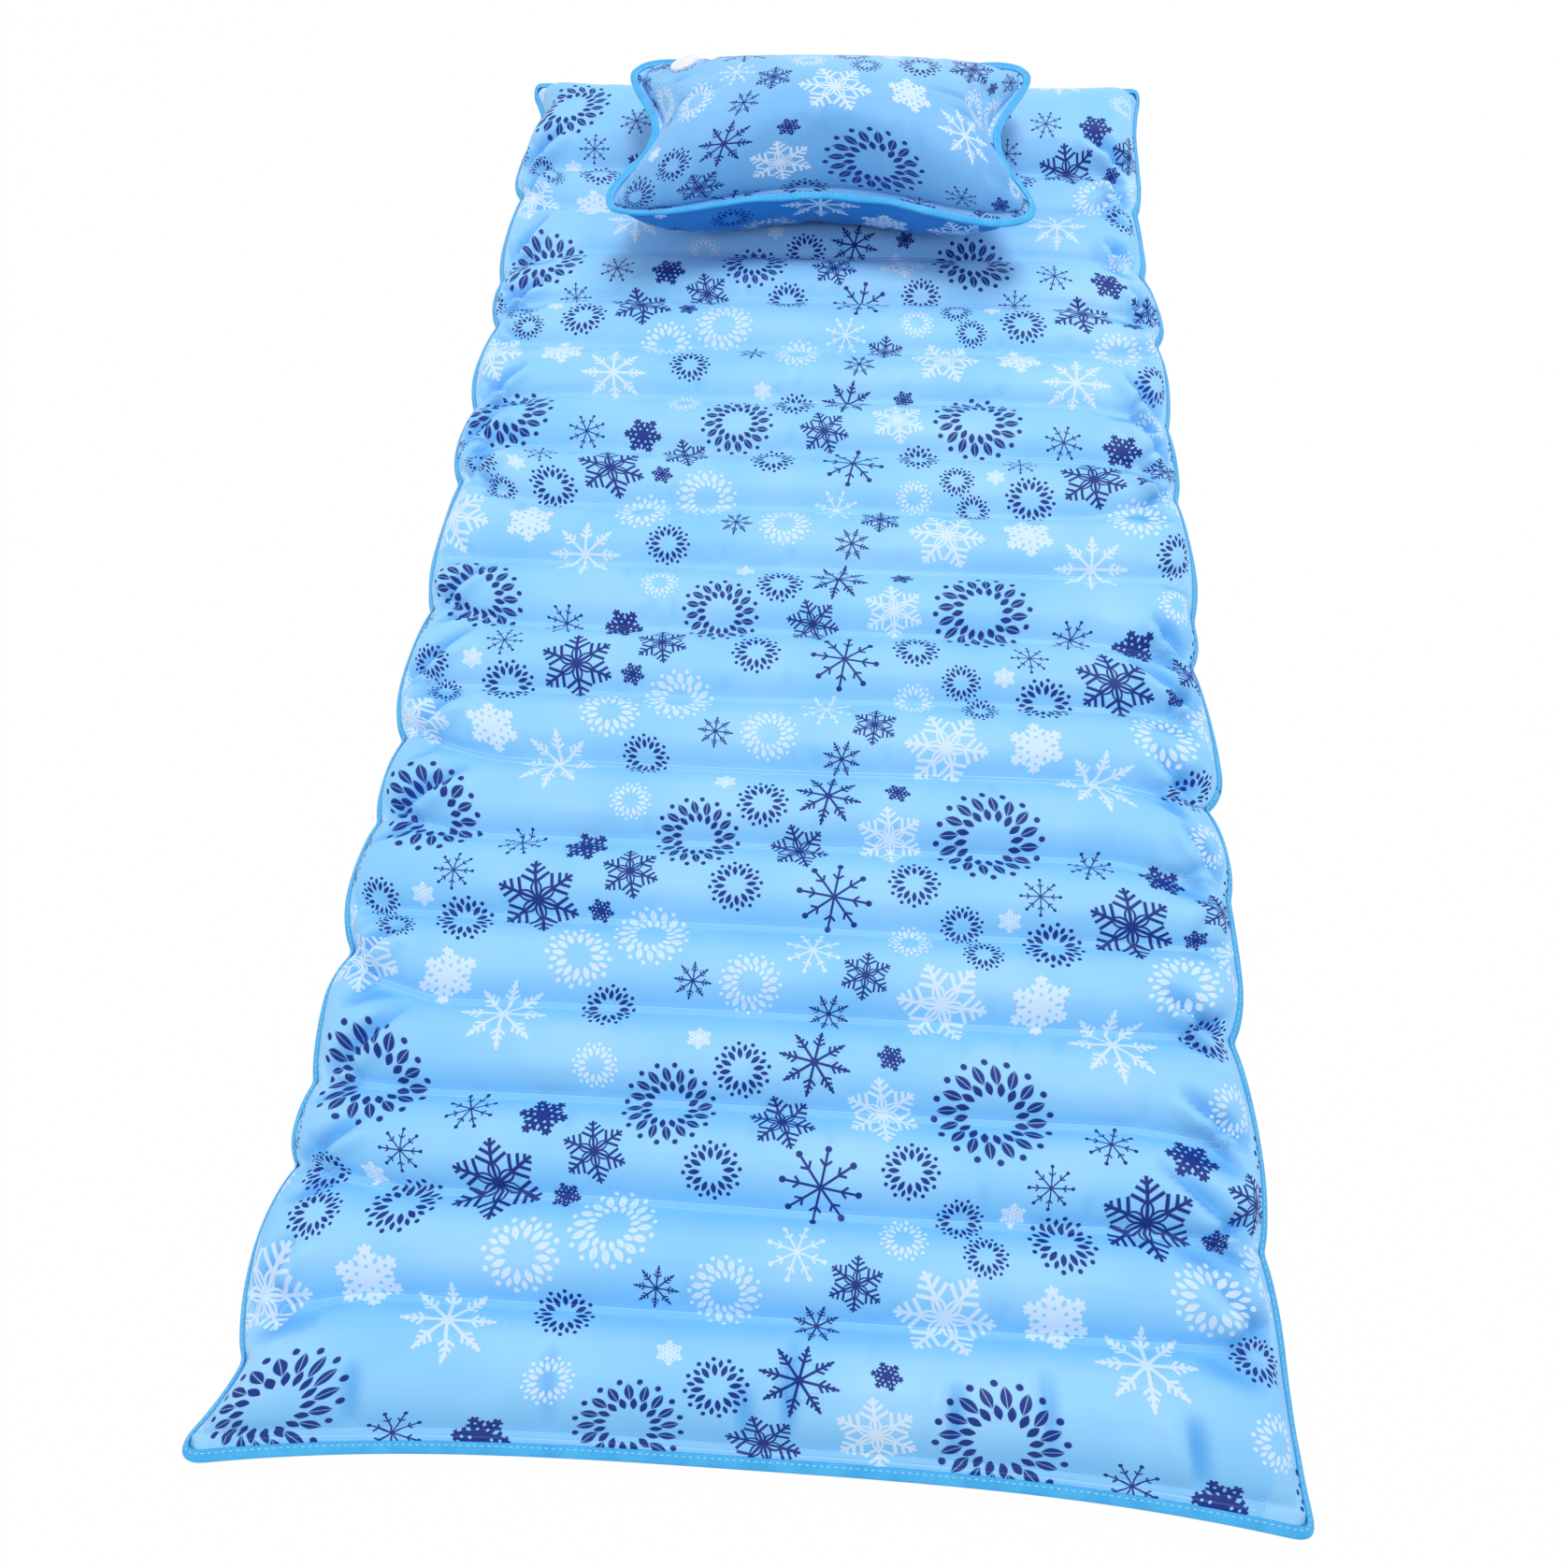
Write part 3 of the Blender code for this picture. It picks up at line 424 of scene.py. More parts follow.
def makeTape(name):
    material, tree, shader = newMaterial(name, Roughness=0.62, Sheen_Weight=0.25,
                                         Sheen_Roughness=0.4,
                                         Sheen_Tint=screen(190, 230, 255))
    along, across, _ = splitXYZ(tree, uvMap(tree, "tape"))
    rib = calc(tree, "SINE", calc(tree, "MULTIPLY", calc(tree, "MULTIPLY_ADD", across, 0.75, along),
                                  2 * math.pi / 0.0021))
    thread = calc(tree, "SINE", calc(tree, "MULTIPLY", across, 2 * math.pi / 0.0008))
    shade = noise(tree, uvMap(tree, "tape"), 60.0, 2.0)
    base = mixColour(tree, remap(tree, shade, 0.35, 0.65), screen(58, 176, 242),
                     screen(76, 192, 250))
    base = mixColour(tree, remap(tree, rib, -0.2, 1.0, 0.0, 0.34), base, screen(34, 146, 224))
    tree.links.new(base, shader.inputs["Base Color"])
    normal = bump(tree, rib, 0.55, 0.00025)
    normal = bump(tree, thread, 0.25, 0.00012, normal)
    tree.links.new(normal, shader.inputs["Normal"])
    return material


def makeThread(name):
    material, tree, shader = newMaterial(name, Roughness=0.55, Sheen_Weight=0.2)
    twist = vectorCalc(tree, "MULTIPLY", objectPlace(tree), (1.0, 1.0, 0.4))
    strands = noise(tree, twist, 1400.0, 1.0)
    tree.links.new(mixColour(tree, strands, screen(118, 206, 250), screen(176, 230, 255)),
                   shader.inputs["Base Color"])
    tree.links.new(bump(tree, strands, 0.4, 0.0001), shader.inputs["Normal"])
    return material


def makePlastic(name, light, deep, roughness, grain, scale=260.0):
    material, tree, shader = newMaterial(name, Roughness=roughness, Specular_IOR_Level=0.5,
                                         Subsurface_Weight=0.05, Subsurface_Scale=0.002)
    place = objectPlace(tree)
    cloud = noise(tree, place, scale * 0.25, 3.0)
    tree.links.new(mixColour(tree, remap(tree, cloud, 0.35, 0.7), screen(*light), screen(*deep)),
                   shader.inputs["Base Color"])
    tree.links.new(remap(tree, cloud, 0.3, 0.7, roughness - 0.06, roughness + 0.08),
                   shader.inputs["Roughness"])
    tree.links.new(bump(tree, noise(tree, place, scale * 6, 2.0), grain, 0.00015),
                   shader.inputs["Normal"])
    return material


# cloth colours: light tone, deep tone that is also the painted shade near the pad's welds, painted shade colour
# for folds and shaded parts, then print shift and print scale
padCloth = makeCloth("padCloth", (153, 212, 255), (121, 198, 255), (84, 168, 240), (0.02, 0.03),
                     1.0)
pillowCloth = makeCloth("pillowCloth", (143, 203, 251), (110, 184, 246), (26, 122, 202),
                        (0.13, 0.11), 0.82)
edgeTape = makeTape("edgeTape")
stitchThread = makeThread("stitchThread")
capPlastic = makePlastic("capPlastic", (234, 239, 247), (216, 225, 238), 0.34, 0.1)
portPlastic = makePlastic("portPlastic", (236, 240, 245), (220, 228, 236), 0.4, 0.12)
washerRubber = makePlastic("washerRubber", (224, 224, 220), (206, 207, 204), 0.75, 0.3)
print("materials made")


# The pad's shape, in metres, where the solids have it

pad = {
    "width": 0.700, "channels": 17, "pitch": 0.0688, "footChamber": 0.086, "headChamber": 0.140,
    "crown": 0.0158, "headwards": 0.006, "footCrown": 0.019, "headCrown": 0.027, "fullness": 0.85,
    "footFullness": 0.7,
    "weldHeight": 0.012, "weldWidth": 0.005, "edge": 0.014, "edgeRow": 0.0075, "tapeOver": 0.0018,
    "face": 0.00075,
    "sideDraw": 0.007, "footDraw": 0.018, "headDraw": 0.005, "cornerRadius": 0.010,
    "passage": 0.034, "passageRise": 0.005,
    "flatHalf": 0.336,   # half the flat cloth's width between its side welds
    "channelCells": 10, "acrossCells": 100, "endCells": 8,
    "foldWelds": (5, 10, 14), "cutWelds": (7, 12),
    # how far the water pushes the ends of cross welds 1 to 18 towards the foot, in mm
    "slides": {-1: (16, -12, -4, -20, 0, -10, -18, 0, -12, 0, -20, 0, 14, 0, 20, 18, -16, 4),
               1: (0, 8, 12, 0, 0, 20, 16, 6, 16, 0, -20, 10, 17, 0, 20, 14, -12, 4)},
    # the sides from the foot corner to the head corner, in mm: places along the pad and how far
    # out the edge is there, with bulges and notches in turn
    "outline": {-1: ((-699, 22), (-654, -3), (-591, 9), (-529, -9), (-503, 1), (-470, -7),
                     (-406, 2), (-369, -14),
                     (-315, 4), (-258, -8), (-224, -2), (-180, -13), (-125, 3), (-47, -10), (15, 1),
                     (103, -8),
                     (150, 5), (198, -5), (249, 5), (314, -8), (355, 4), (383, 0), (441, 8),
                     (517, 0), (552, 13),
                     (642, -4), (699, 15)),
                1: ((-699, 9), (-665, 6), (-610, 4), (-551, -3), (-497, 5), (-406, -8), (-357, 5),
                    (-292, 3),
                    (-266, 7), (-215, -7), (-184, 8), (-77, -6), (-49, 2), (-29, -1), (21, 7),
                    (106, -3),
                    (139, 2), (197, -3), (257, 3), (308, -5), (334, 4), (402, -12), (429, -7),
                    (502, -11),
                    (563, -2), (640, -1), (699, 7))},
    "footOut": 0.005,
    "sideDrop": 0.0098, "footDrop": 0.004, "headLift": 0.001, "headFlat": 0.62, "seed": 11,
}
chambers = [pad["footChamber"]] + [pad["pitch"]] * pad["channels"] + [pad["headChamber"]]
crowns = [pad["crown"] - pad["headwards"] * k / (pad["channels"] - 1) for k in range(pad["channels"])]
crowns = [pad["footCrown"]] + crowns + [pad["headCrown"]]
padHalfLength = sum(chambers) / 2 + pad["edge"]
welds = [sum(chambers[:k]) + pad["edge"] - padHalfLength for k in range(len(chambers) + 1)]
last = len(chambers) - 1


def padRows():
    # one row of cloth points for each place along the pad: y, chamber, share of the crown and
    # of the belly, whether it lies on a weld
    half = pad["weldWidth"] / 2
    rows = [dict(y=-padHalfLength + pad["tapeOver"]), dict(y=-padHalfLength + pad["edgeRow"]),
            dict(y=welds[0])]
    for index, chamber in enumerate(chambers):
        cells = round(pad["channelCells"] * (chamber - 2 * half) / (pad["pitch"] - 2 * half))
        low, span = welds[index] + half, chamber - 2 * half
        power = pad["footFullness"] if index == 0 else pad["fullness"]
        for k in range(cells + 1):
            share = -math.cos(math.pi * k / cells) * 0.3 + (2 * k / cells - 1) * 0.7
            flat = 0.0 if index < last else 0.3 if share < 0 else pad["headFlat"]
            over = max((abs(share) - flat) / (1 - flat), 0)
            under = max((abs(share) - 0.5) / 0.5, 0)
            rows.append(dict(y=low + span * (share + 1) / 2, chamber=index,
                             crown=max(1 - over * over, 0) ** power,
                             belly=math.sqrt(max(1 - under * under, 0)), edge=k in (0, cells)))
        rows.append(dict(y=welds[index + 1], weld=index + 1))
    rows[-1:] = [dict(y=welds[-1]), dict(y=padHalfLength - pad["edgeRow"]),
                 dict(y=padHalfLength - pad["tapeOver"])]
    return rows


def padHalfWidth(y, side):
    # from the middle to the outer edge of the tape
    points = 0.001 * np.array(pad["outline"][side])
    y = min(max(y, points[0, 0]), points[-1, 0])
    index = min(int(np.searchsorted(points[:, 0], y, "right")), len(points) - 1)
    notch, bulge = (points[index], points[index - 1]) if index % 2 else (points[index - 1],
                                                                         points[index])
    share = (y - notch[0]) / (bulge[0] - notch[0])
    swell = share ** 1.4 if index in (1, len(points) - 1) else math.sin(math.pi / 2 * share) ** 0.65
    return pad["width"] / 2 - pad["sideDraw"] + notch[1] + (bulge[1] - notch[1]) * swell


def notchDepth(y, side):
    return min(max((pad["width"] / 2 - pad["sideDraw"] - padHalfWidth(y, side)) / 0.012, 0), 1)


def endDrawn(x, y):
    # how far the foot or head edge is drawn in at this place
    inner, draw = (welds[1], pad["footDraw"]) if y < 0 else (welds[-2], -pad["headDraw"])
    reach = max((abs(y) - abs(inner)) / (padHalfLength - abs(inner)), 0)
    bow = draw * reach * (1 - min(abs(x) / (pad["width"] / 2), 1) ** 3)
    return bow - (pad["footOut"] * reach if y < 0 else 0)


def padGrid():
    rng = np.random.default_rng(pad["seed"])
    rows = padRows()
    flatHalf, passage = pad["flatHalf"], pad["passage"]
    endFlat = passage * 1.22   # cloth over the rounded end of a channel
    inner = np.linspace(-(flatHalf - endFlat), flatHalf - endFlat, pad["acrossCells"] + 1)
    end = flatHalf - endFlat + endFlat * np.arange(1, pad["endCells"] + 1) / pad["endCells"]
    border = pad["edge"] - pad["tapeOver"]
    rim = flatHalf + np.array([0.5, 1.0]) * border
    columns = np.concatenate([-rim[::-1], -end[::-1], inner, end, rim])
    weldWave = np.where(np.isin(np.arange(len(welds)),
                                (0, 1, len(welds) - 2, len(welds) - 1) + pad["foldWelds"]),
                        0, rng.uniform(0.0006, 0.0018, len(welds)))
    wavePhase = rng.uniform(0, 2 * math.pi, len(welds))
    crownWave = rng.uniform(0.02, 0.07, len(chambers))
    crownPhase = rng.uniform(0, 2 * math.pi, len(chambers))
    knots = np.sort(np.concatenate([welds, [(a + b) / 2 for a, b in zip(welds, welds[1:])]]))
    drops = {}
    for side in (-1, 1):
        deep = np.array([notchDepth(y, side) for y in knots])
        onKnot = np.isin(knots, welds)
        drops[side] = pad["sideDrop"] * (1.0 - 0.35 * deep * onKnot + rng.uniform(-0.15, 0.08,
                                                                                  len(knots)))
    shape = (len(rows), len(columns))
    top, bottom = np.zeros(shape + (3,)), np.zeros(shape + (3,))
    shared, pins, weldAway = np.zeros(shape, bool), np.zeros(shape), np.full(shape, 0.05)
    flatY, before = [], None
    for row in rows:   # length of cloth up to each row
        z = crowns[row["chamber"]] * row["crown"] if "chamber" in row else 0.0
        flatY.append(0.0 if before is None else flatY[-1] + math.hypot(row["y"] - before[0],
                                                                       z - before[1]))
        before = (row["y"], z)
    flatY = np.array(flatY) - flatY[-1] / 2
    for i, row in enumerate(rows):
        y = row["y"]
        endRow = i < 4 or i >= len(rows) - 4
        weld = row.get("weld")
        nearest = min(range(len(welds)), key=lambda k: abs(welds[k] - y))
        onWeld = weld is not None or (row.get("edge") and abs(welds[nearest] - y) < 0.0031)
        closed = nearest in pad["foldWelds"]
        place = np.interp(y, welds, np.arange(len(welds)))
        endShare = min(max((abs(y) - abs(welds[0])) / border, 0), 1)
        endDrop = (pad["footDrop"] if y < 0 else -pad["headLift"]) * endShare
        slide, halfWidth, drop = {}, {}, {}
        for side in (-1, 1):
            slides = np.concatenate([[0], pad["slides"][side], [0]]) * 0.001
            slide[side] = np.interp(place, np.arange(len(welds)), slides)
            halfWidth[side] = padHalfWidth(y - slide[side], side)
            drop[side] = np.interp(y, knots, drops[side]) * (1 - endShare)
        for j, t in enumerate(columns):
            side = 1 if t > 0 else -1
            span = math.sqrt(border ** 2 - drop[side] ** 2)
            weldX = halfWidth[side] - pad["tapeOver"] - span
            far = abs(t)
            crown, belly = row.get("crown", 0.0), row.get("belly", 0.0)
            out = max((far - flatHalf) / border, 0)
            if far >= flatHalf - 1e-9:   # welded border
                x, round_ = weldX + span * out, 0.0
            elif far > flatHalf - endFlat:
                q = (far - flatHalf + endFlat) / endFlat
                swing = math.sin(q * math.pi / 2)
                x = weldX - passage + passage * (q + (swing - q) * crown)
                round_ = math.sqrt(max(1 - ((x - weldX + passage) / passage) ** 3, 0))
            else:
                x, round_ = far / (flatHalf - endFlat) * (weldX - passage), 1.0
            depth = 0.0
            if "chamber" in row:
                index = row["chamber"]
                depth = crowns[index] * (1 + crownWave[index] * math.sin(9 * t + crownPhase[index]))
            up = depth * crown * round_
            down = (pad["weldHeight"] - pad["face"]) * belly * round_
            isBorder = far >= flatHalf - 1e-9 or endRow
            join = isBorder or (onWeld and (closed or far <= flatHalf - endFlat + 1e-9))
            if onWeld and not join:
                q = (far - flatHalf + endFlat) / endFlat
                up = down = pad["passageRise"] * math.sin(math.pi * q) ** 0.7
            x *= side
            near = min(max((far - flatHalf + 0.1) / 0.1, 0), 1)
            wave = np.interp(place, np.arange(len(welds)), weldWave * np.sin(14 * t + wavePhase))
            yy = y + endDrawn(x, y) - slide[side] * near * near * (3 - 2 * near) + wave
            low = pad["weldHeight"] - max(drop[side] * out, 0) - endDrop
            face = 0.0 if join else pad["face"]
            top[i, j] = x, yy, low + face + up
            bottom[i, j] = x, yy, low - face - down
            shared[i, j] = join
            if join:
                if onWeld and not isBorder:
                    pins[i, j] = np.interp(far, [0, 0.27, flatHalf - endFlat, flatHalf],
                                           [1, 1, 0.35, 0.1])
                else:
                    pins[i, j] = 0.35
            weldAway[i, j] = abs(welds[nearest] - y) if far < flatHalf - endFlat * 0.6 or closed else 0.05
            if isBorder and not endRow:
                weldAway[i, j] = 0.05
    # corners rounded
    radius = pad["cornerRadius"]
    for grid in (top, bottom):
        left, right = np.abs(grid[[0, -1]][:, 0, 0]), np.abs(grid[[0, -1]][:, -1, 0])
        atHead = (grid[..., 1] > 0).astype(int)
        cx = np.where(grid[..., 0] < 0, left[atHead], right[atHead]) - radius
        cy = np.where(atHead, np.abs(grid[-1, 0, 1]), np.abs(grid[0, 0, 1])) - radius
        dx, dy = np.abs(grid[..., 0]) - cx, np.abs(grid[..., 1]) - cy
        inCorner = (dx > 0) & (dy > 0)
        scale = np.where(inCorner, np.maximum(dx, dy) / np.maximum(np.hypot(dx, dy), 1e-9), 1)
        grid[..., 0] = np.where(inCorner, np.sign(grid[..., 0]) * (cx + dx * scale), grid[..., 0])
        grid[..., 1] = np.where(inCorner, np.sign(grid[..., 1]) * (cy + dy * scale), grid[..., 1])
    holdValve(top, pins, (-0.1, 0.6237))
    slope = {k: top[4:-4, k] - top[4:-4, 2 if k >= 0 else -3] for k in (0, 1, -1, -2)}
    flat = np.stack(np.broadcast_arrays(columns[None, :], flatY[:, None]), -1).copy()
    weldRows = [next(i for i, row in enumerate(rows) if row.get("weld") == k) for k in range(1,
                                                                                             len(welds) - 1)]
    weldColumns = [int(np.argmin(np.abs(columns - t))) for t in (-flatHalf, endFlat - flatHalf,
                                                                 flatHalf - endFlat, flatHalf)]
    print("pad cloth", shape, "flat length", round(float(flatY[-1] * 2), 3))
    return dict(top=top, bottom=bottom, shared=shared, pins=pins, flat=flat, weldAway=weldAway,
                slope=slope,
                weldRows=weldRows, weldColumns=weldColumns,
                cuts=[weldRows[k - 1] for k in pad["cutWelds"]])


# Filling with water: cloth simulation with pressure inside, from the welded flat cut

def holdValve(top, pins, place):
    # the cloth round a filler valve stays where the valve's flange holds it
    away = np.hypot(top[..., 0] - place[0], top[..., 1] - place[1])
    pins[:] = np.maximum(pins, np.clip((0.034 - away) / 0.012, 0, 1))


def gridFaces(numbers, keep=None, reverse=False):
    a, b, c, d = numbers[:-1, :-1], numbers[:-1, 1:], numbers[1:, 1:], numbers[1:, :-1]
    quads = np.stack([a, d, c, b] if reverse else [a, b, c, d], -1)
    return quads[keep] if keep is not None else quads.reshape(-1, 4)


def fillCloth(name, grid, settings):
    # top and bottom sheets share the points of their welds
    shape = grid["shared"].shape
    upper = np.arange(shape[0] * shape[1]).reshape(shape)
    lower = upper.copy()
    loose = ~grid["shared"]
    lower[loose] = upper.size + np.arange(loose.sum())
    points = np.concatenate([grid["top"].reshape(-1, 3), grid["bottom"][loose]])
    together = grid["shared"][:-1, :-1] & grid["shared"][:-1, 1:] & grid["shared"][1:,
                                                                                   1:] & grid["shared"][1:, :-1]
    faces = np.concatenate([gridFaces(upper), gridFaces(lower, ~together, True)])
    mesh = bpy.data.meshes.new(name)
    mesh.from_pydata(points.tolist(), [], faces.tolist())
    obj = newObject(name, mesh)
    flat = np.concatenate([grid["flat"].reshape(-1, 2), grid["flat"][loose]])
    rest = np.column_stack([flat * settings["cut"], np.full(len(flat), float(points[:, 2].mean()))])
    rest[:, 0] += points[:, 0].mean()
    rest[:, 1] += points[:, 1].mean()
    obj.shape_key_add(name="Basis")
    key = obj.shape_key_add(name="flat")
    key.data.foreach_set("co", rest.ravel())
    key.value = 0.0
    pins = np.concatenate([grid["pins"].ravel(), np.zeros(loose.sum())])
    press = np.concatenate([loose.ravel().astype(float), np.ones(loose.sum())])
    for label, weights in (("pin", pins), ("press", press)):
        group = obj.vertex_groups.new(name=label)
        for level in np.unique(np.round(weights, 2)):
            if level > 0:
                group.add(np.nonzero(np.round(weights, 2) == level)[0].tolist(), float(level),
                          "REPLACE")
    cloth = obj.modifiers.new("filling", "CLOTH")
    given = cloth.settings
    given.quality = settings["quality"]
    given.mass = settings["mass"]
    given.air_damping = 4.0
    given.tension_stiffness = settings["tension"]
    given.compression_stiffness = settings["compression"]
    given.shear_stiffness = settings["shear"]
    given.bending_stiffness = settings["bending"]
    given.tension_damping = given.compression_damping = 12.0
    given.shear_damping = 8.0
    given.bending_damping = 1.0
    given.effector_weights.gravity = 0.0
    given.use_pressure = True
    given.uniform_pressure_force = settings["pressure"]
    given.vertex_group_pressure = "press"
    given.vertex_group_mass = "pin"
    given.pin_stiffness = settings["hold"]
    given.rest_shape_key = key
    cloth.collision_settings.use_collision = False
    cloth.collision_settings.use_self_collision = False
    cloth.point_cache.frame_start = 1
    cloth.point_cache.frame_end = settings["frames"]
    for step in range(1, settings["frames"] + 1):
        scene.frame_set(step)
    result = obj.evaluated_get(bpy.context.evaluated_depsgraph_get())
    done = np.zeros(len(points) * 3)
    result.data.vertices.foreach_get("co", done)
    done = done.reshape(-1, 3)
    scene.frame_set(1)
    bpy.data.objects.remove(obj)
    bpy.data.meshes.remove(mesh)
    move = done - points
    far = np.linalg.norm(move, axis=1, keepdims=True)
    print(name, "filled, points moved by", round(float(far.mean()) * 1000, 2), "mm, at most",
          round(float(far.max()) * 1000, 2))
    limit = settings["most"]
    move *= np.where(far > 0, limit * np.tanh(far / limit) / np.maximum(far, 1e-9), 1)
    done = points + move
    done[:, 2] = np.maximum(done[:, 2], settings["floor"])
    grid["top"], grid["bottom"] = done[upper], done[lower]


padFilling = {"cut": 1.0, "quality": 5, "mass": 0.25, "tension": 25.0, "compression": 12.0,
              "shear": 6.0,
              "bending": 0.25, "pressure": 4.0, "hold": 0.6, "frames": 22, "most": 0.010,
              "floor": 0.0}


def doubled(values):
    # twice as many points along the first axis, on a smooth curve through the old ones
    count = len(values)
    ends = np.concatenate([[2 * values[0] - values[1]], values, [2 * values[-1] - values[-2]]])
    middles = (-ends[:-3] + 9 * ends[1:-2] + 9 * ends[2:-1] - ends[3:]) / 16
    result = np.zeros((2 * count - 1,) + values.shape[1:])
    result[::2], result[1::2] = values, middles
    return result


def fineGrid(values):
    return doubled(np.moveaxis(doubled(np.moveaxis(values, 1, 0)), 1, 0))


def gridNormals(points):
    along, across = np.gradient(points, axis=0), np.gradient(points, axis=1)
    normals = np.cross(across, along)
    return normals / np.maximum(np.linalg.norm(normals, axis=-1, keepdims=True), 1e-12)


def refine(grid, face):
    # a finer grid, with the two sheets kept apart where they are welded
    fine = {}
    joined = fineGrid(grid["shared"].astype(float)[..., None])[..., 0]
    for name in ("top", "bottom"):
        fine[name] = fineGrid(grid[name])
    normals = gridNormals((fine["top"] + fine["bottom"]) / 2)
    normals *= np.sign(normals[..., 2:3] + 1e-9)
    off = (face * np.clip(joined, 0, 1))[..., None] * normals
    fine["top"] = fine["top"] + off
    fine["bottom"] = fine["bottom"] - off
    fine["flat"] = fineGrid(grid["flat"])
    fine["weldAway"] = np.abs(fineGrid(grid["weldAway"][..., None])[..., 0])
    fine["free"] = np.clip(1 - joined, 0, 1)
    # marks for painted shade: in fold valleys and on the pillow's shaded parts
    for name in ("topFold", "bottomFold", "topShade", "bottomShade"):
        fine[name] = np.zeros(joined.shape)
    return fine


def crease(fine, name, start, way, length, depth, width, ridge=0.5, steep=0):
    # presses a soft valley into a sheet, along a line from start, with a low ridge beside it;
    # steep gives the side on which its wall is steep and the other one broad
    points = fine[name]
    reach = length + 4 * width
    rows = np.nonzero((np.abs(points[..., 1] - start[1]) < reach).any(1))[0]
    columns = np.nonzero((np.abs(points[..., 0] - start[0]) < reach).any(0))[0]
    if not len(rows) or not len(columns):
        return
    window = (slice(rows[0], rows[-1] + 1), slice(columns[0], columns[-1] + 1))
    part = points[window]
    unit = np.array(way) / math.hypot(*way)
    offset = part[..., :2] - np.array(start[:2])
    along = np.clip(offset @ unit / length, 0, 1)
    across = offset @ np.array([-unit[1], unit[0]])
    fade = np.sin(math.pi * along) ** 0.7 * np.clip(1 + (offset @ unit) / width, 0,
                                                    1) * fine["free"][window]
    if steep:
        across *= steep
        wall = np.where(across > 0, 0.6, 1.9) * width
        shape = ridge * np.exp(-((across - 2.2 * width) / (1.4 * width)) ** 2) - np.exp(-(across / wall) ** 2)
    else:
        shape = ridge * np.exp(-((across - 2.1 * width) / (1.3 * width)) ** 2) - np.exp(-(across / width) ** 2)
    part[..., 2] += (1 if name == "top" else -1) * depth * fade * shape
    # the fold's depth is kept as a mark where the material paints shade into the valley
    mark = fine[name + "Fold"][window]
    np.maximum(mark, fade * np.clip(-shape, 0, 1) * min(depth / 0.006, 1), out=mark)


bottomPrint = (0.11, 0.07)   # how far the bottom sheets' print is shifted


def shellObject(name, fine, low, high, material):
    # one closed bag from the rows low to high of the top and bottom sheets
    top, bottom, flat = (fine[k][low:high + 1] for k in ("top", "bottom", "flat"))
    weldAway = fine["weldAway"][low:high + 1]
    shape = top.shape[:2]
    upper = np.arange(shape[0] * shape[1]).reshape(shape)
    lower = upper + upper.size
    ring = lambda n: np.concatenate([n[0, :], n[1:, -1], n[-1, -2::-1], n[-2:0:-1, 0]])
    a, b = ring(upper), ring(lower)
    rim = np.stack([a, b, np.roll(b, -1), np.roll(a, -1)], -1)
    faces = np.concatenate([gridFaces(upper), gridFaces(lower, None, True), rim])
    points = np.concatenate([top.reshape(-1, 3), bottom.reshape(-1, 3)])
    mesh = bpy.data.meshes.new(name)
    mesh.from_pydata(points.tolist(), [], faces.tolist())
    loops = np.zeros(len(mesh.loops), np.int32)
    mesh.loops.foreach_get("vertex_index", loops)
    mirrored = flat * np.array([-1.0, 1.0]) + np.array(bottomPrint)
    cloth = np.concatenate([flat.reshape(-1, 2), mirrored.reshape(-1, 2)])
    limits = np.abs(fine["flat"]).reshape(-1, 2).max(0)
    edgeAway = (limits - np.abs(flat)).min(-1)
    away = np.stack([weldAway, edgeAway], -1).reshape(-1, 2)
    # fold depth and painted shade, read by the material to paint shade
    folds = np.stack([np.concatenate([fine[k + part][low:high + 1].ravel() for k in ("top",
                                                                                     "bottom")])
                      for part in ("Fold", "Shade")], -1)
    for label, values in (("cloth", cloth), ("weld", np.concatenate([away, away])),
                          ("fold", folds)):
        mesh.uv_layers.new(name=label).data.foreach_set("uv",
                                                        values[loops].astype(np.float32).ravel())
    mesh.shade_smooth()
    mesh.materials.append(material)
    obj = newObject(name, mesh)
    return obj


# Binding tape along an edge, and its stitches

tape = {"outer": 0.0018, "width": 0.0082, "thick": 0.0006, "half": 0.0017, "step": 0.0026,
        "smooth": 3.0}
stitches = {"pitch": 0.0046, "length": 0.0031, "width": 0.0008, "height": 0.00045,
            "fromEdge": 0.0021}


def smoothed(values, width, closed=True):
    reach = int(3 * width)
    kernel = np.exp(-0.5 * (np.arange(-reach, reach + 1) / width) ** 2)
    kernel /= kernel.sum()
    padded = np.concatenate([values[-reach:], values, values[:reach]])
    return np.stack([np.convolve(padded[:, k], kernel, "valid") for k in range(values.shape[1])],
                    -1)


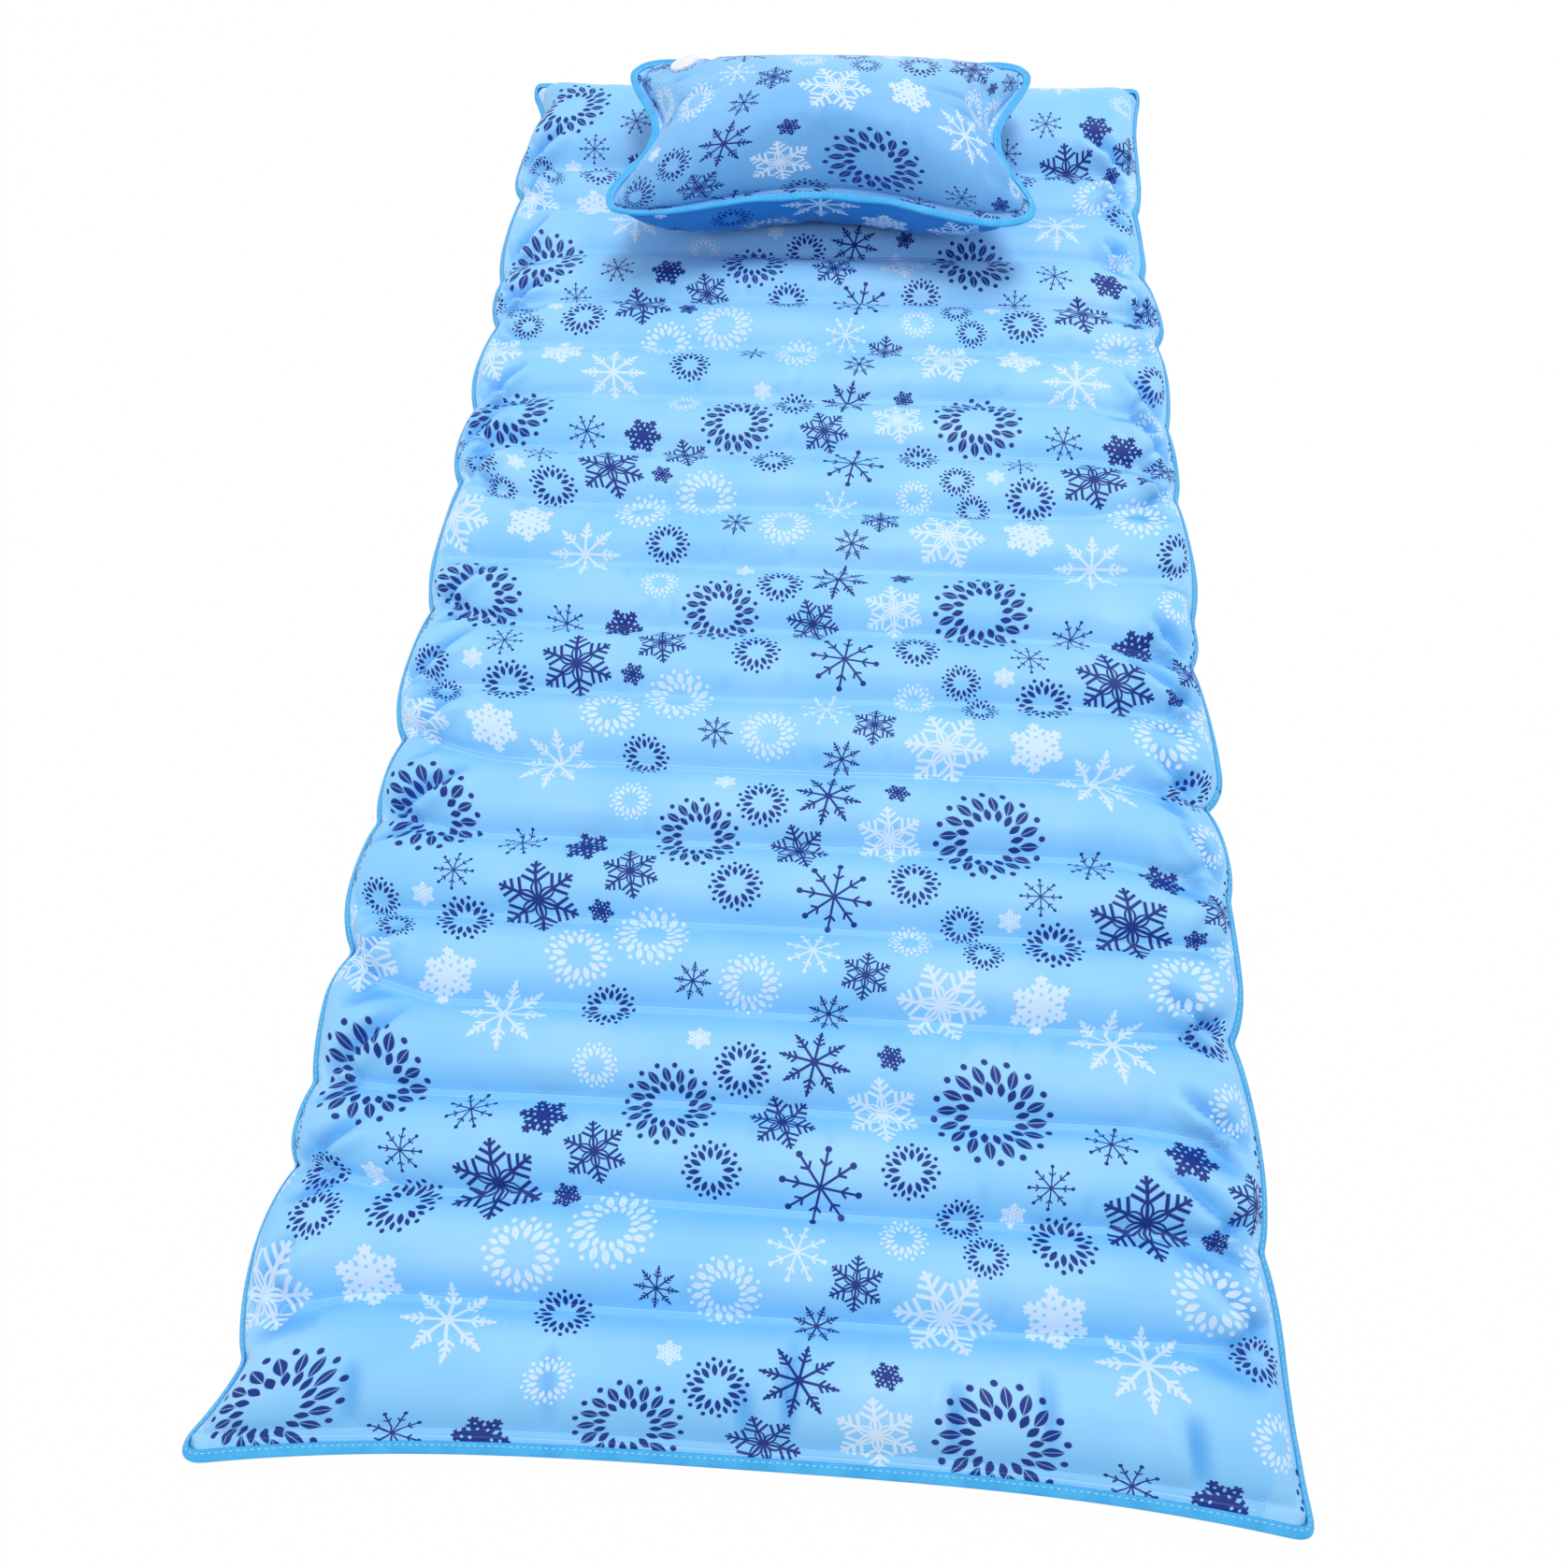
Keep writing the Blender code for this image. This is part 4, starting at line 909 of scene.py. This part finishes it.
def edgePath(fine, inset, width):
    # the cloth's edge as evenly spaced points, with the directions outwards and upwards
    rows, columns = fine["top"].shape[:2]
    i = np.arange(rows), np.arange(columns)
    ring = ([(0, c) for c in i[1]] + [(r, columns - 1) for r in i[0][1:]]
            + [(rows - 1, c) for c in i[1][-2::-1]] + [(r, 0) for r in i[0][-2:0:-1]])
    r, c = np.array(ring).T
    middle = (fine["top"] + fine["bottom"]) / 2
    edge = middle[r, c]
    inner = middle[np.clip(r, inset, rows - 1 - inset), np.clip(c, inset, columns - 1 - inset)]
    lengths = np.linalg.norm(np.roll(edge, -1, 0) - edge, axis=1)
    along = np.concatenate([[0], np.cumsum(lengths)])
    count = int(along[-1] / tape["step"])
    places = np.linspace(0, along[-1], count, endpoint=False)
    resample = lambda v: np.stack([np.interp(places, along,
                                             np.append(v[:, k], v[0, k])) for k in range(3)], -1)
    edge, inner = smoothed(resample(edge), 1.2), smoothed(resample(inner), tape["smooth"])
    tangent = smoothed(np.roll(edge, -1, 0) - np.roll(edge, 1, 0), 1.5)
    tangent /= np.linalg.norm(tangent, axis=1, keepdims=True)
    out = edge - inner
    out -= tangent * (out * tangent).sum(1, keepdims=True)
    out = smoothed(out / np.linalg.norm(out, axis=1, keepdims=True), tape["smooth"])
    out -= tangent * (out * tangent).sum(1, keepdims=True)
    out /= np.linalg.norm(out, axis=1, keepdims=True)
    up = np.cross(out, tangent)
    up *= np.sign(up[:, 2].sum())
    return dict(edge=edge, out=out, up=up, along=places, length=along[-1], width=width)


def tapeProfile(w):
    # folded tape: outer side, then back along its inner side
    o, h, t = tape["outer"], tape["half"], tape["thick"]
    outer = [(o - w, h * 0.82), (o - w * 0.96, h), (o - w * 0.8, h * 1.02), (o - w * 0.6, h),
             (o - w * 0.42, h * 1.02),
             (o - w * 0.24, h), (o - w * 0.1, h * 0.86), (o - w * 0.03, h * 0.5), (o, 0)]
    outer = outer + [(x, -z) for x, z in outer[-2::-1]]
    inner = [(o - w, -h + t * 1.6), (o - w * 0.5, -h + t), (o - t * 2.2, -h * 0.5),
             (o - t * 1.4, 0),
             (o - t * 2.2, h * 0.5), (o - w * 0.5, h - t), (o - w, h - t * 1.6)]
    return np.array(outer + inner)


def tapeObject(name, path, picks, closed, material):
    profile = tapeProfile(path["width"])
    edge, out, up = (path[k][picks] for k in ("edge", "out", "up"))
    points = edge[:, None] + profile[None, :, 0, None] * out[:, None] + profile[None, :, 1,
                                                                                None] * up[:, None]
    count, sides = points.shape[:2]
    numbers = np.arange(count * sides).reshape(count, sides)
    wrap = np.concatenate([numbers, numbers[:, :1]], 1)
    if closed:
        wrap = np.concatenate([wrap, wrap[:1]])
    quads = gridFaces(wrap)
    mesh = bpy.data.meshes.new(name)
    faces = quads.tolist() + ([] if closed else [numbers[0].tolist(), numbers[-1][::-1].tolist()])
    mesh.from_pydata(points.reshape(-1, 3).tolist(), [], faces)
    girth = np.concatenate([[0], np.cumsum(np.linalg.norm(np.diff(profile, axis=0), axis=1)),
                            [0.03]])
    places = np.arange(count + 1) * tape["step"]
    uvs = np.zeros((len(mesh.loops), 2), np.float32)
    rowCount, sideCount = wrap.shape[0] - 1, sides
    k = np.arange(rowCount * sideCount)
    row, side = k // sideCount, k % sideCount
    corners = [(row, side), (row, side + 1), (row + 1, side + 1), (row + 1, side)]
    for n, (a, b) in enumerate(corners):
        uvs[n:4 * len(k):4, 0], uvs[n:4 * len(k):4, 1] = places[a], girth[b]
    mesh.uv_layers.new(name="tape").data.foreach_set("uv", uvs.ravel())
    mesh.shade_smooth()
    mesh.materials.append(material)
    obj = newObject(name, mesh)
    bpy.context.view_layer.objects.active = obj
    return obj


def stitchTree():
    # a stitch on each point, turned by the point's own directions
    tree = bpy.data.node_groups.new("stitchRow", "GeometryNodeTree")
    tree.interface.new_socket("Geometry", in_out="INPUT", socket_type="NodeSocketGeometry")
    for label in ("Stitch Length", "Stitch Width", "Stitch Height"):
        tree.interface.new_socket(label, in_out="INPUT", socket_type="NodeSocketFloat")
    tree.interface.new_socket("Thread", in_out="INPUT", socket_type="NodeSocketMaterial")
    tree.interface.new_socket("Geometry", in_out="OUTPUT", socket_type="NodeSocketGeometry")
    add = tree.nodes.new
    inside, outside = add("NodeGroupInput"), add("NodeGroupOutput")
    points = add("GeometryNodeMeshToPoints")
    ball = add("GeometryNodeMeshUVSphere")
    ball.inputs["Segments"].default_value = 8
    ball.inputs["Rings"].default_value = 5
    ball.inputs["Radius"].default_value = 0.5
    smooth = add("GeometryNodeSetShadeSmooth")
    place = add("GeometryNodeInstanceOnPoints")
    size = add("ShaderNodeCombineXYZ")
    turns = []
    for axis, label, factor in (("X", "along", None), ("Z", "up", None)):
        read = add("GeometryNodeInputNamedAttribute")
        read.data_type = "FLOAT_VECTOR"
        read.inputs["Name"].default_value = label
        turn = add("FunctionNodeAlignRotationToVector")
        turn.axis = axis
        if axis == "Z":
            turn.pivot_axis = "X"
        tree.links.new(read.outputs["Attribute"], turn.inputs["Vector"])
        turns.append(turn)
    tree.links.new(turns[0].outputs["Rotation"], turns[1].inputs["Rotation"])
    tree.links.new(inside.outputs["Stitch Length"], size.inputs["X"])
    tree.links.new(inside.outputs["Stitch Width"], size.inputs["Y"])
    tree.links.new(inside.outputs["Stitch Height"], size.inputs["Z"])
    realize, dress = add("GeometryNodeRealizeInstances"), add("GeometryNodeSetMaterial")
    tree.links.new(inside.outputs["Geometry"], points.inputs["Mesh"])
    tree.links.new(points.outputs["Points"], place.inputs["Points"])
    tree.links.new(ball.outputs["Mesh"], smooth.inputs["Geometry"])
    tree.links.new(smooth.outputs["Geometry"], place.inputs["Instance"])
    tree.links.new(turns[1].outputs["Rotation"], place.inputs["Rotation"])
    tree.links.new(size.outputs["Vector"], place.inputs["Scale"])
    tree.links.new(place.outputs["Instances"], realize.inputs["Geometry"])
    tree.links.new(realize.outputs["Geometry"], dress.inputs["Geometry"])
    tree.links.new(inside.outputs["Thread"], dress.inputs["Material"])
    tree.links.new(dress.outputs["Geometry"], outside.inputs["Geometry"])
    return tree


stitchRow = stitchTree()


def plainResult(obj, name):
    # the evaluated result as a plain mesh, without its modifiers
    graph = bpy.context.evaluated_depsgraph_get()
    mesh = bpy.data.meshes.new_from_object(obj.evaluated_get(graph))
    mesh.name = name
    made = newObject(name, mesh)
    old = obj.data
    bpy.data.objects.remove(obj)
    bpy.data.meshes.remove(old)
    return made


def stitchObject(name, path, picks, material):
    run = len(picks) * tape["step"]
    count = int(run / stitches["pitch"])
    at = np.interp((np.arange(count) + 0.5) / count * (len(picks) - 1), np.arange(len(picks)),
                   np.arange(len(picks)))
    part = lambda key: np.stack([np.interp(at, np.arange(len(picks)),
                                           path[key][picks][:, k]) for k in range(3)], -1)
    edge, out, up = part("edge"), part("out"), part("up")
    inward = path["width"] - tape["outer"] - stitches["fromEdge"]
    points, ups = [], []
    for side in (1, -1):
        points.append(edge - out * inward + up * side * (tape["half"] + stitches["height"] * 0.12))
        ups.append(up * side)
    points, ups = np.concatenate(points), np.concatenate(ups)
    along = np.cross(np.concatenate([out, out]), ups)
    mesh = bpy.data.meshes.new(name + "Points")
    mesh.from_pydata(points.tolist(), [], [])
    for label, values in (("along", along), ("up", ups)):
        mesh.attributes.new(label, "FLOAT_VECTOR", "POINT").data.foreach_set("vector",
                                                                             values.astype(np.float32).ravel())
    obj = newObject(name + "Points", mesh)
    modifier = obj.modifiers.new("stitches", "NODES")
    modifier.node_group = stitchRow
    given = {"Stitch Length": stitches["length"], "Stitch Width": stitches["width"],
             "Stitch Height": stitches["height"], "Thread": material}
    for item in stitchRow.interface.items_tree:
        if item.in_out == "INPUT" and item.name in given:
            modifier[item.identifier] = given[item.name]
    return plainResult(obj, name)


# Pad: fill, refine and cut it into three bags, each across one fold

padCut = padGrid()
fillCloth("padFilling", padCut, padFilling)
for column, offset in padCut["slope"].items():   # the welded side border hangs as it was laid
    for sheet in (padCut["top"], padCut["bottom"]):
        sheet[4:-4, column] = sheet[4:-4, 2 if column >= 0 else -3] + offset
padFine = refine(padCut, pad["face"])


def creasePad(fine):
    # the folds that the water's pull leaves: tents at the channel ends, stars round the weld
    # ends, small puckers along the welds and dents in the foot chamber
    rng = np.random.default_rng(pad["seed"] + 1)
    edgeLeft, endLeft, endRight, edgeRight = [2 * column for column in padCut["weldColumns"]]
    for number, row in enumerate(padCut["weldRows"], 1):
        straight = number in pad["foldWelds"]
        for side, edgeColumn, endColumn in ((-1, edgeLeft, endLeft), (1, edgeRight, endRight)):
            notch, weldEnd = fine["top"][2 * row, edgeColumn].copy(), fine["top"][2 * row,
                                                                                  endColumn].copy()
            deep = notchDepth(notch[1], side)
            if not straight:
                run = notch[:2] - weldEnd[:2]
                crease(fine, "top", weldEnd, run, np.linalg.norm(run),
                       0.0036 * rng.uniform(0.6, 1.2), 0.004, 0.3)
                turn = rng.uniform(0.6, 1.1)
                crease(fine, "top", notch, (-side * math.cos(turn), math.sin(turn)),
                       rng.uniform(0.05, 0.085),
                       rng.uniform(0.006, 0.0085) + 0.003 * deep, rng.uniform(0.004, 0.006), 0.7,
                       side)
            for lean in (rng.uniform(0.4, 0.9), -rng.uniform(0.4, 0.9)):
                crease(fine, "top", weldEnd, (side * math.cos(lean), math.sin(lean)),
                       rng.uniform(0.025, 0.05),
                       rng.uniform(0.0025, 0.006) * (0.5 if straight else 1),
                       rng.uniform(0.0035, 0.005), 0.5)
            if deep < 0.3 and not straight:   # a bulge over two channels dents at the weld's end
                crease(fine, "top", weldEnd + np.array([-side * 0.02, -0.004, 0]),
                       (side * 1.0, -0.4),
                       0.05, 0.0045, 0.008, 0.5)
        for x in rng.uniform(-0.27, 0.27, 9):
            way = rng.choice((-1, 1))
            spot = fine["top"][2 * row, int(np.argmin(np.abs(fine["top"][2 * row, :, 0] - x)))]
            crease(fine, "top", spot, (rng.uniform(-0.3, 0.3), way), rng.uniform(0.016, 0.03),
                   rng.uniform(0.0006, 0.0015), rng.uniform(0.004, 0.006), 0.4)
    for x in (-0.24, -0.13, -0.02, 0.035, 0.12, 0.2, 0.27):
        x += rng.uniform(-0.02, 0.02)
        spot = fine["top"][6, int(np.argmin(np.abs(fine["top"][6, :, 0] - x)))]
        crease(fine, "top", spot, (rng.uniform(-0.25, 0.25), 1), rng.uniform(0.035, 0.065),
               rng.uniform(0.003, 0.006), rng.uniform(0.005, 0.008), 0.5)


creasePad(padFine)
lastRow = len(padFine["top"]) - 1
cuts = [0, 2 * padCut["cuts"][0], 2 * padCut["cuts"][1], lastRow]
nodesOf = {
    "Foot": (("top_sheet_foot", "bottom_sheet_foot", "water_foot", "top_sheet_leg",
              "bottom_sheet_leg", "water_leg"),
             ("binding_foot",)),
    "Middle": (("top_sheet_back", "bottom_sheet_back", "water_back"), ()),
    "Head": (("top_sheet_head", "bottom_sheet_head", "water_head"), ("binding_head",)),
}


def bendAt(obj):
    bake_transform(obj)


for index, part in enumerate(("Foot", "Middle", "Head")):
    bag = shellObject("padBag" + part, padFine, cuts[index], cuts[index + 1], padCloth)
    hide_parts(*nodesOf[part][0])
    bendAt(bag)
print("pad bags made")

padPath = edgePath(padFine, 4, tape["width"])
cutYs = [welds[k] for k in pad["cutWelds"]]
ys, xs = padPath["edge"][:, 1], padPath["edge"][:, 0]
order = np.arange(len(ys))


def run(test):
    # the picked stretch of the path as one unbroken run of numbers
    picked = order[test]
    gap = np.nonzero(np.diff(picked) > 1)[0]
    return np.concatenate([picked[gap[0] + 1:], picked[:gap[0] + 1]]) if len(gap) else picked


tapeParts = [
    ("padTapeFoot", run(ys <= cutYs[0] + tape["step"]), 0,
     ("binding_foot", "binding_leg_left", "binding_leg_right")),
    ("padTapeRight", run((ys >= cutYs[0]) & (ys <= cutYs[1] + tape["step"]) & (xs > 0)), 1,
     ("binding_back_right",)),
    ("padTapeLeft", run((ys >= cutYs[0]) & (ys <= cutYs[1] + tape["step"]) & (xs < 0)), 1,
     ("binding_back_left",)),
    ("padTapeHead", run(ys >= cutYs[1]), 2, ("binding_head",)),
]
for name, picks, index, nodes in tapeParts:
    band = tapeObject(name, padPath, picks, False, edgeTape)
    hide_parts(*nodes)
    bendAt(band)
    seam = stitchObject(name.replace("Tape", "Stitches"), padPath, picks, stitchThread)
    bendAt(seam)
print("pad tape and stitches made")


# Pillow

pillow = {
    "length": 0.440, "shift": -0.004, "tapeWidth": 0.0078, "width": 0.268, "crown": 0.065,
    "crownPower": 0.62, "belly": 0.062, "bellyFlat": 0.4,
    "endPinch": 0.034, "sidePinch": 0.036, "edge": 0.013, "cornerRound": 0.009, "cornerPower": 8,
    "fromHead": 0.212, "plane": 0.0913, "lengthCells": 64, "widthCells": 44,
    "flatHalf": (0.208, 0.134),
    # shade: how much shade is painted on the top's front and on the bottom
    "valve": (-0.1521, 0.572), "shade": (0.62, 0.9), "seed": 4,
}
pillowFilling = {"cut": 1.0, "quality": 6, "mass": 0.25, "tension": 25.0, "compression": 10.0,
                 "shear": 6.0,
                 "bending": 0.3, "pressure": 4.0, "hold": 0.5, "frames": 20, "most": 0.008,
                 "floor": 0.0287}
pillowY = padHalfLength - pillow["fromHead"]


def pillowPoint(u, v, side):
    length = pillow["length"] / 2 - pillow["edge"] - pillow["endPinch"] * (1 + math.cos(math.pi * v)) / 2
    width = pillow["width"] / 2 - pillow["edge"] - pillow["sidePinch"] * (1 + math.cos(math.pi * u)) / 2
    ear = pillow["cornerRound"] * abs(u * v) ** pillow["cornerPower"]
    flat = 0 if side > 0 else pillow["bellyFlat"]
    power = pillow["crownPower"] if side > 0 else 0.5
    rounded = lambda p, power: max(1 - max((abs(p) - flat) / (1 - flat), 0) ** 2, 0) ** power
    rise = (pillow["crown"] if side > 0 else pillow["belly"]) * rounded(u, 0.5) * rounded(v, power)
    return np.array([pillow["shift"] + u * length - math.copysign(ear, u),
                     pillowY + v * width - math.copysign(ear, v),
                     pillow["plane"] + side * (pad["face"] + rise)])


def pillowGrid():
    turnsU = np.linspace(-math.pi / 2, math.pi / 2, pillow["lengthCells"] + 1)
    turnsV = np.linspace(-math.pi / 2, math.pi / 2, pillow["widthCells"] + 1)
    rim = np.array([0.5, 1.0]) * (pillow["edge"] - tape["outer"])
    us, vs = np.sin(turnsU), np.sin(turnsV)
    core = {side: np.array([[pillowPoint(u, v, side) for u in us] for v in vs]) for side in (1, -1)}
    middle = (core[1] + core[-1]) / 2
    rows, columns = len(vs) + 4, len(us) + 4
    grids = {}
    for side in (1, -1):
        grid = np.zeros((rows, columns, 3))
        grid[2:-2, 2:-2] = core[side]
        grids[side] = grid
    normalOf = {}
    for name, line, sign in (("low", middle[0], 1), ("high", middle[-1], -1),
                             ("left", middle[:, 0], -1), ("right", middle[:, -1], 1)):
        tangent = np.gradient(line[:, :2], axis=0)
        tangent[0], tangent[-1] = tangent[1], tangent[-2]
        tangent /= np.linalg.norm(tangent, axis=1, keepdims=True)
        normalOf[name] = sign * np.stack([tangent[:, 1], -tangent[:, 0]], -1)
    for grid in grids.values():
        for k, d in enumerate(rim, 1):
            for name, source, target in (("low", (2, slice(2, -2)), (2 - k, slice(2, -2))),
                                         ("high", (-3, slice(2, -2)), (-3 + k, slice(2, -2))),
                                         ("left", (slice(2, -2), 2), (slice(2, -2), 2 - k)),
                                         ("right", (slice(2, -2), -3), (slice(2, -2), -3 + k))):
                grid[target] = grid[source]
                grid[target + (slice(0, 2),)] = grid[source][:, :2] + normalOf[name] * d
        for cornerRow, cornerColumn, stepRow, stepColumn, first, second, end1, end2 in (
                (2, 2, -1, -1, "low", "left", 0, 0), (2, -3, -1, 1, "low", "right", -1, 0),
                (-3, 2, 1, -1, "high", "left", 0, -1), (-3, -3, 1, 1, "high", "right", -1, -1)):
            base = grid[cornerRow, cornerColumn]
            for a in (1, 2):
                for b in (1, 2):
                    way = a * normalOf[first][end1] + b * normalOf[second][end2]
                    way = way / np.linalg.norm(way) * rim[max(a, b) - 1]
                    grid[cornerRow + a * stepRow,
                         cornerColumn + b * stepColumn] = base + np.array([way[0], way[1], 0])
    shape = (rows, columns)
    shared = np.ones(shape, bool)
    shared[3:-3, 3:-3] = False
    for grid in grids.values():
        grid[..., 2] = np.where(shared, pillow["plane"], grid[..., 2])
    flatU = pillow["flatHalf"][0] * turnsU / (math.pi / 2)
    flatV = pillow["flatHalf"][1] * turnsV / (math.pi / 2)
    widen = lambda f: np.concatenate([f[0] - rim[::-1], f, f[-1] + rim])
    flat = np.stack(np.broadcast_arrays(widen(flatU)[None, :], widen(flatV)[:, None]), -1).copy()
    pins = np.where(shared, 0.05, 0.0)
    holdValve(grids[1], pins, pillow["valve"])
    return dict(top=grids[1], bottom=grids[-1], shared=shared, pins=pins, flat=flat,
                weldAway=np.full(shape, 0.05))


def creasePillow(fine):
    # puckers along the binding and the creases that run in from the two waists
    rng = np.random.default_rng(pillow["seed"])
    rows, columns = fine["top"].shape[:2]
    for name in ("top", "bottom"):
        for edge, way, count in ((6, 1, 11), (rows - 7, -1, 8)):
            for share in (np.arange(count) + rng.uniform(0.2, 0.8, count)) / count:
                spot = fine[name][edge, int(6 + share * (columns - 13))].copy()
                crease(fine, name, spot, (rng.uniform(-0.3, 0.3), way), rng.uniform(0.025, 0.055),
                       rng.uniform(0.001, 0.0026), rng.uniform(0.0035, 0.006), 0.4)
        for edge, way in ((6, 1), (columns - 7, -1)):
            for share in (0.18, 0.42, 0.5, 0.6, 0.82):
                spot = fine[name][int(share * rows), edge].copy()
                crease(fine, name, spot, (way, (0.5 - share) * 1.2 + rng.uniform(-0.2, 0.2)),
                       rng.uniform(0.04, 0.08),
                       rng.uniform(0.0015, 0.0035), rng.uniform(0.004, 0.007), 0.5)


pillowCut = pillowGrid()
fillCloth("pillowFilling", pillowCut, pillowFilling)
pillowFine = refine(pillowCut, pad["face"])
creasePillow(pillowFine)
# painted shade: the top darkens over its front half and the bottom over all but its back, for the shade in
# front of and under the pillow
front = -pillowFine["flat"][..., 1] / pillow["flatHalf"][1]
pillowFine["topShade"] = pillow["shade"][0] * np.clip((front + 0.1) / 1.1, 0, 1) ** 1.3
pillowFine["bottomShade"] = pillow["shade"][1] * np.clip(front + 0.6, 0, 1)
pillowBag = shellObject("pillowBag", pillowFine, 0, len(pillowFine["top"]) - 1, pillowCloth)
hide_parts("pillow_top_panel", "pillow_bottom_panel", "pillow_water")
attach(pillowBag, "pillow")
pillowPath = edgePath(pillowFine, 4, pillow["tapeWidth"])
everyStep = np.arange(len(pillowPath["edge"]))
pillowTape = tapeObject("pillowTape", pillowPath, everyStep, True, edgeTape)
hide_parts("pillow_binding")
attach(pillowTape, "pillow")
pillowSeam = stitchObject("pillowStitches", pillowPath, everyStep, stitchThread)
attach(pillowSeam, "pillow")
print("pillow made")


# Valves keep their own solids, with moulded plastic and rubber

for name, material in (("port", portPlastic), ("washer", washerRubber), ("cap", capPlastic)):
    for owner in ("pad_valve_", "pillow_valve_"):
        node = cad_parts[owner + name]
        node.data.materials.clear()
        node.data.materials.append(material)


# Floor, light and camera

studio = {
    "ambient": 0.6, "sun": 0.95, "softness": 20, "sunFrom": (0.12, 0.12, 1.0),
    "floorGlow": 0.98, "floorHalf": 30, "floorDrop": 0.0006,
    # place, target, size and power of each lamp
    "lamps": {"headLamp": ((0.4, 1.15, 2.0), (0, -0.1, 0), 1.0, 10.0),
              "fillLamp": ((-1.6, -0.9, 1.7), (0, 0, 0), 1.6, 3.5)},
    "sensor": 36.0, "lens": 28.12, "cameraPlace": (0.0485, -0.677, 0.892),
    "cameraTurn": (28.05, 1.64, 3.50),
}


def seenDirectly(tree):
    # 1 for what the camera sees, also by reflection or through glass
    path = tree.nodes.new("ShaderNodeLightPath")
    rays = [path.outputs[name] for name in ("Is Camera Ray", "Is Glossy Ray",
                                            "Is Transmission Ray")]
    return calc(tree, "MAXIMUM", calc(tree, "MAXIMUM", rays[0], rays[1]), rays[2])


floorMesh = bpy.data.meshes.new("studioFloor")
corners = [(x * studio["floorHalf"], y * studio["floorHalf"], -studio["floorDrop"])
           for x, y in ((-1, -1), (1, -1), (1, 1), (-1, 1))]
floorMesh.from_pydata(corners, [], [(0, 1, 2, 3)])
floorMaterial, tree, shader = newMaterial("paperFloor", Base_Color=(0.86, 0.87, 0.88, 1),
                                          Roughness=0.9)
seen = seenDirectly(tree)
glow = tree.nodes.new("ShaderNodeEmission")
mixer = tree.nodes.new("ShaderNodeMixShader")
tree.links.new(calc(tree, "MULTIPLY", seen, studio["floorGlow"]), mixer.inputs[0])
tree.links.new(shader.outputs[0], mixer.inputs[1])
tree.links.new(glow.outputs[0], mixer.inputs[2])
tree.links.new(mixer.outputs[0], tree.nodes["Material Output"].inputs["Surface"])
floorMesh.materials.append(floorMaterial)
floor = newObject("studioFloor", floorMesh)

world = bpy.data.worlds.new("studio")
scene.world = world
world.use_nodes = True
tree = world.node_tree
background = tree.nodes["Background"]
seen = seenDirectly(tree)
background.inputs["Color"].default_value = (1, 1, 1, 1)
tree.links.new(remap(tree, seen, 0.0, 1.0, studio["ambient"], 1.0), background.inputs["Strength"])


def addLamp(name, place, target, size, power):
    lamp = bpy.data.lights.new(name, "AREA")
    lamp.shape = "DISK"
    lamp.size = size
    lamp.energy = power
    obj = newObject(name, lamp)
    obj.location = place
    obj.rotation_euler = (Vector(target) - Vector(place)).to_track_quat("-Z", "Y").to_euler()


sun = bpy.data.lights.new("windowLight", "SUN")
sun.energy = studio["sun"]
sun.angle = math.radians(studio["softness"])
sunObject = newObject("windowLight", sun)
sunObject.rotation_euler = (-Vector(studio["sunFrom"])).to_track_quat("-Z", "Y").to_euler()
for name, lamp in studio["lamps"].items():
    addLamp(name, *lamp)

camera = bpy.data.cameras.new("camera")
camera.sensor_width = studio["sensor"]
camera.lens = studio["lens"]
cameraObject = newObject("camera", camera)
cameraObject.location = studio["cameraPlace"]
cameraObject.rotation_euler = tuple(math.radians(a) for a in studio["cameraTurn"])
scene.camera = cameraObject
scene.view_settings.view_transform = "Standard"

print("scene ready")
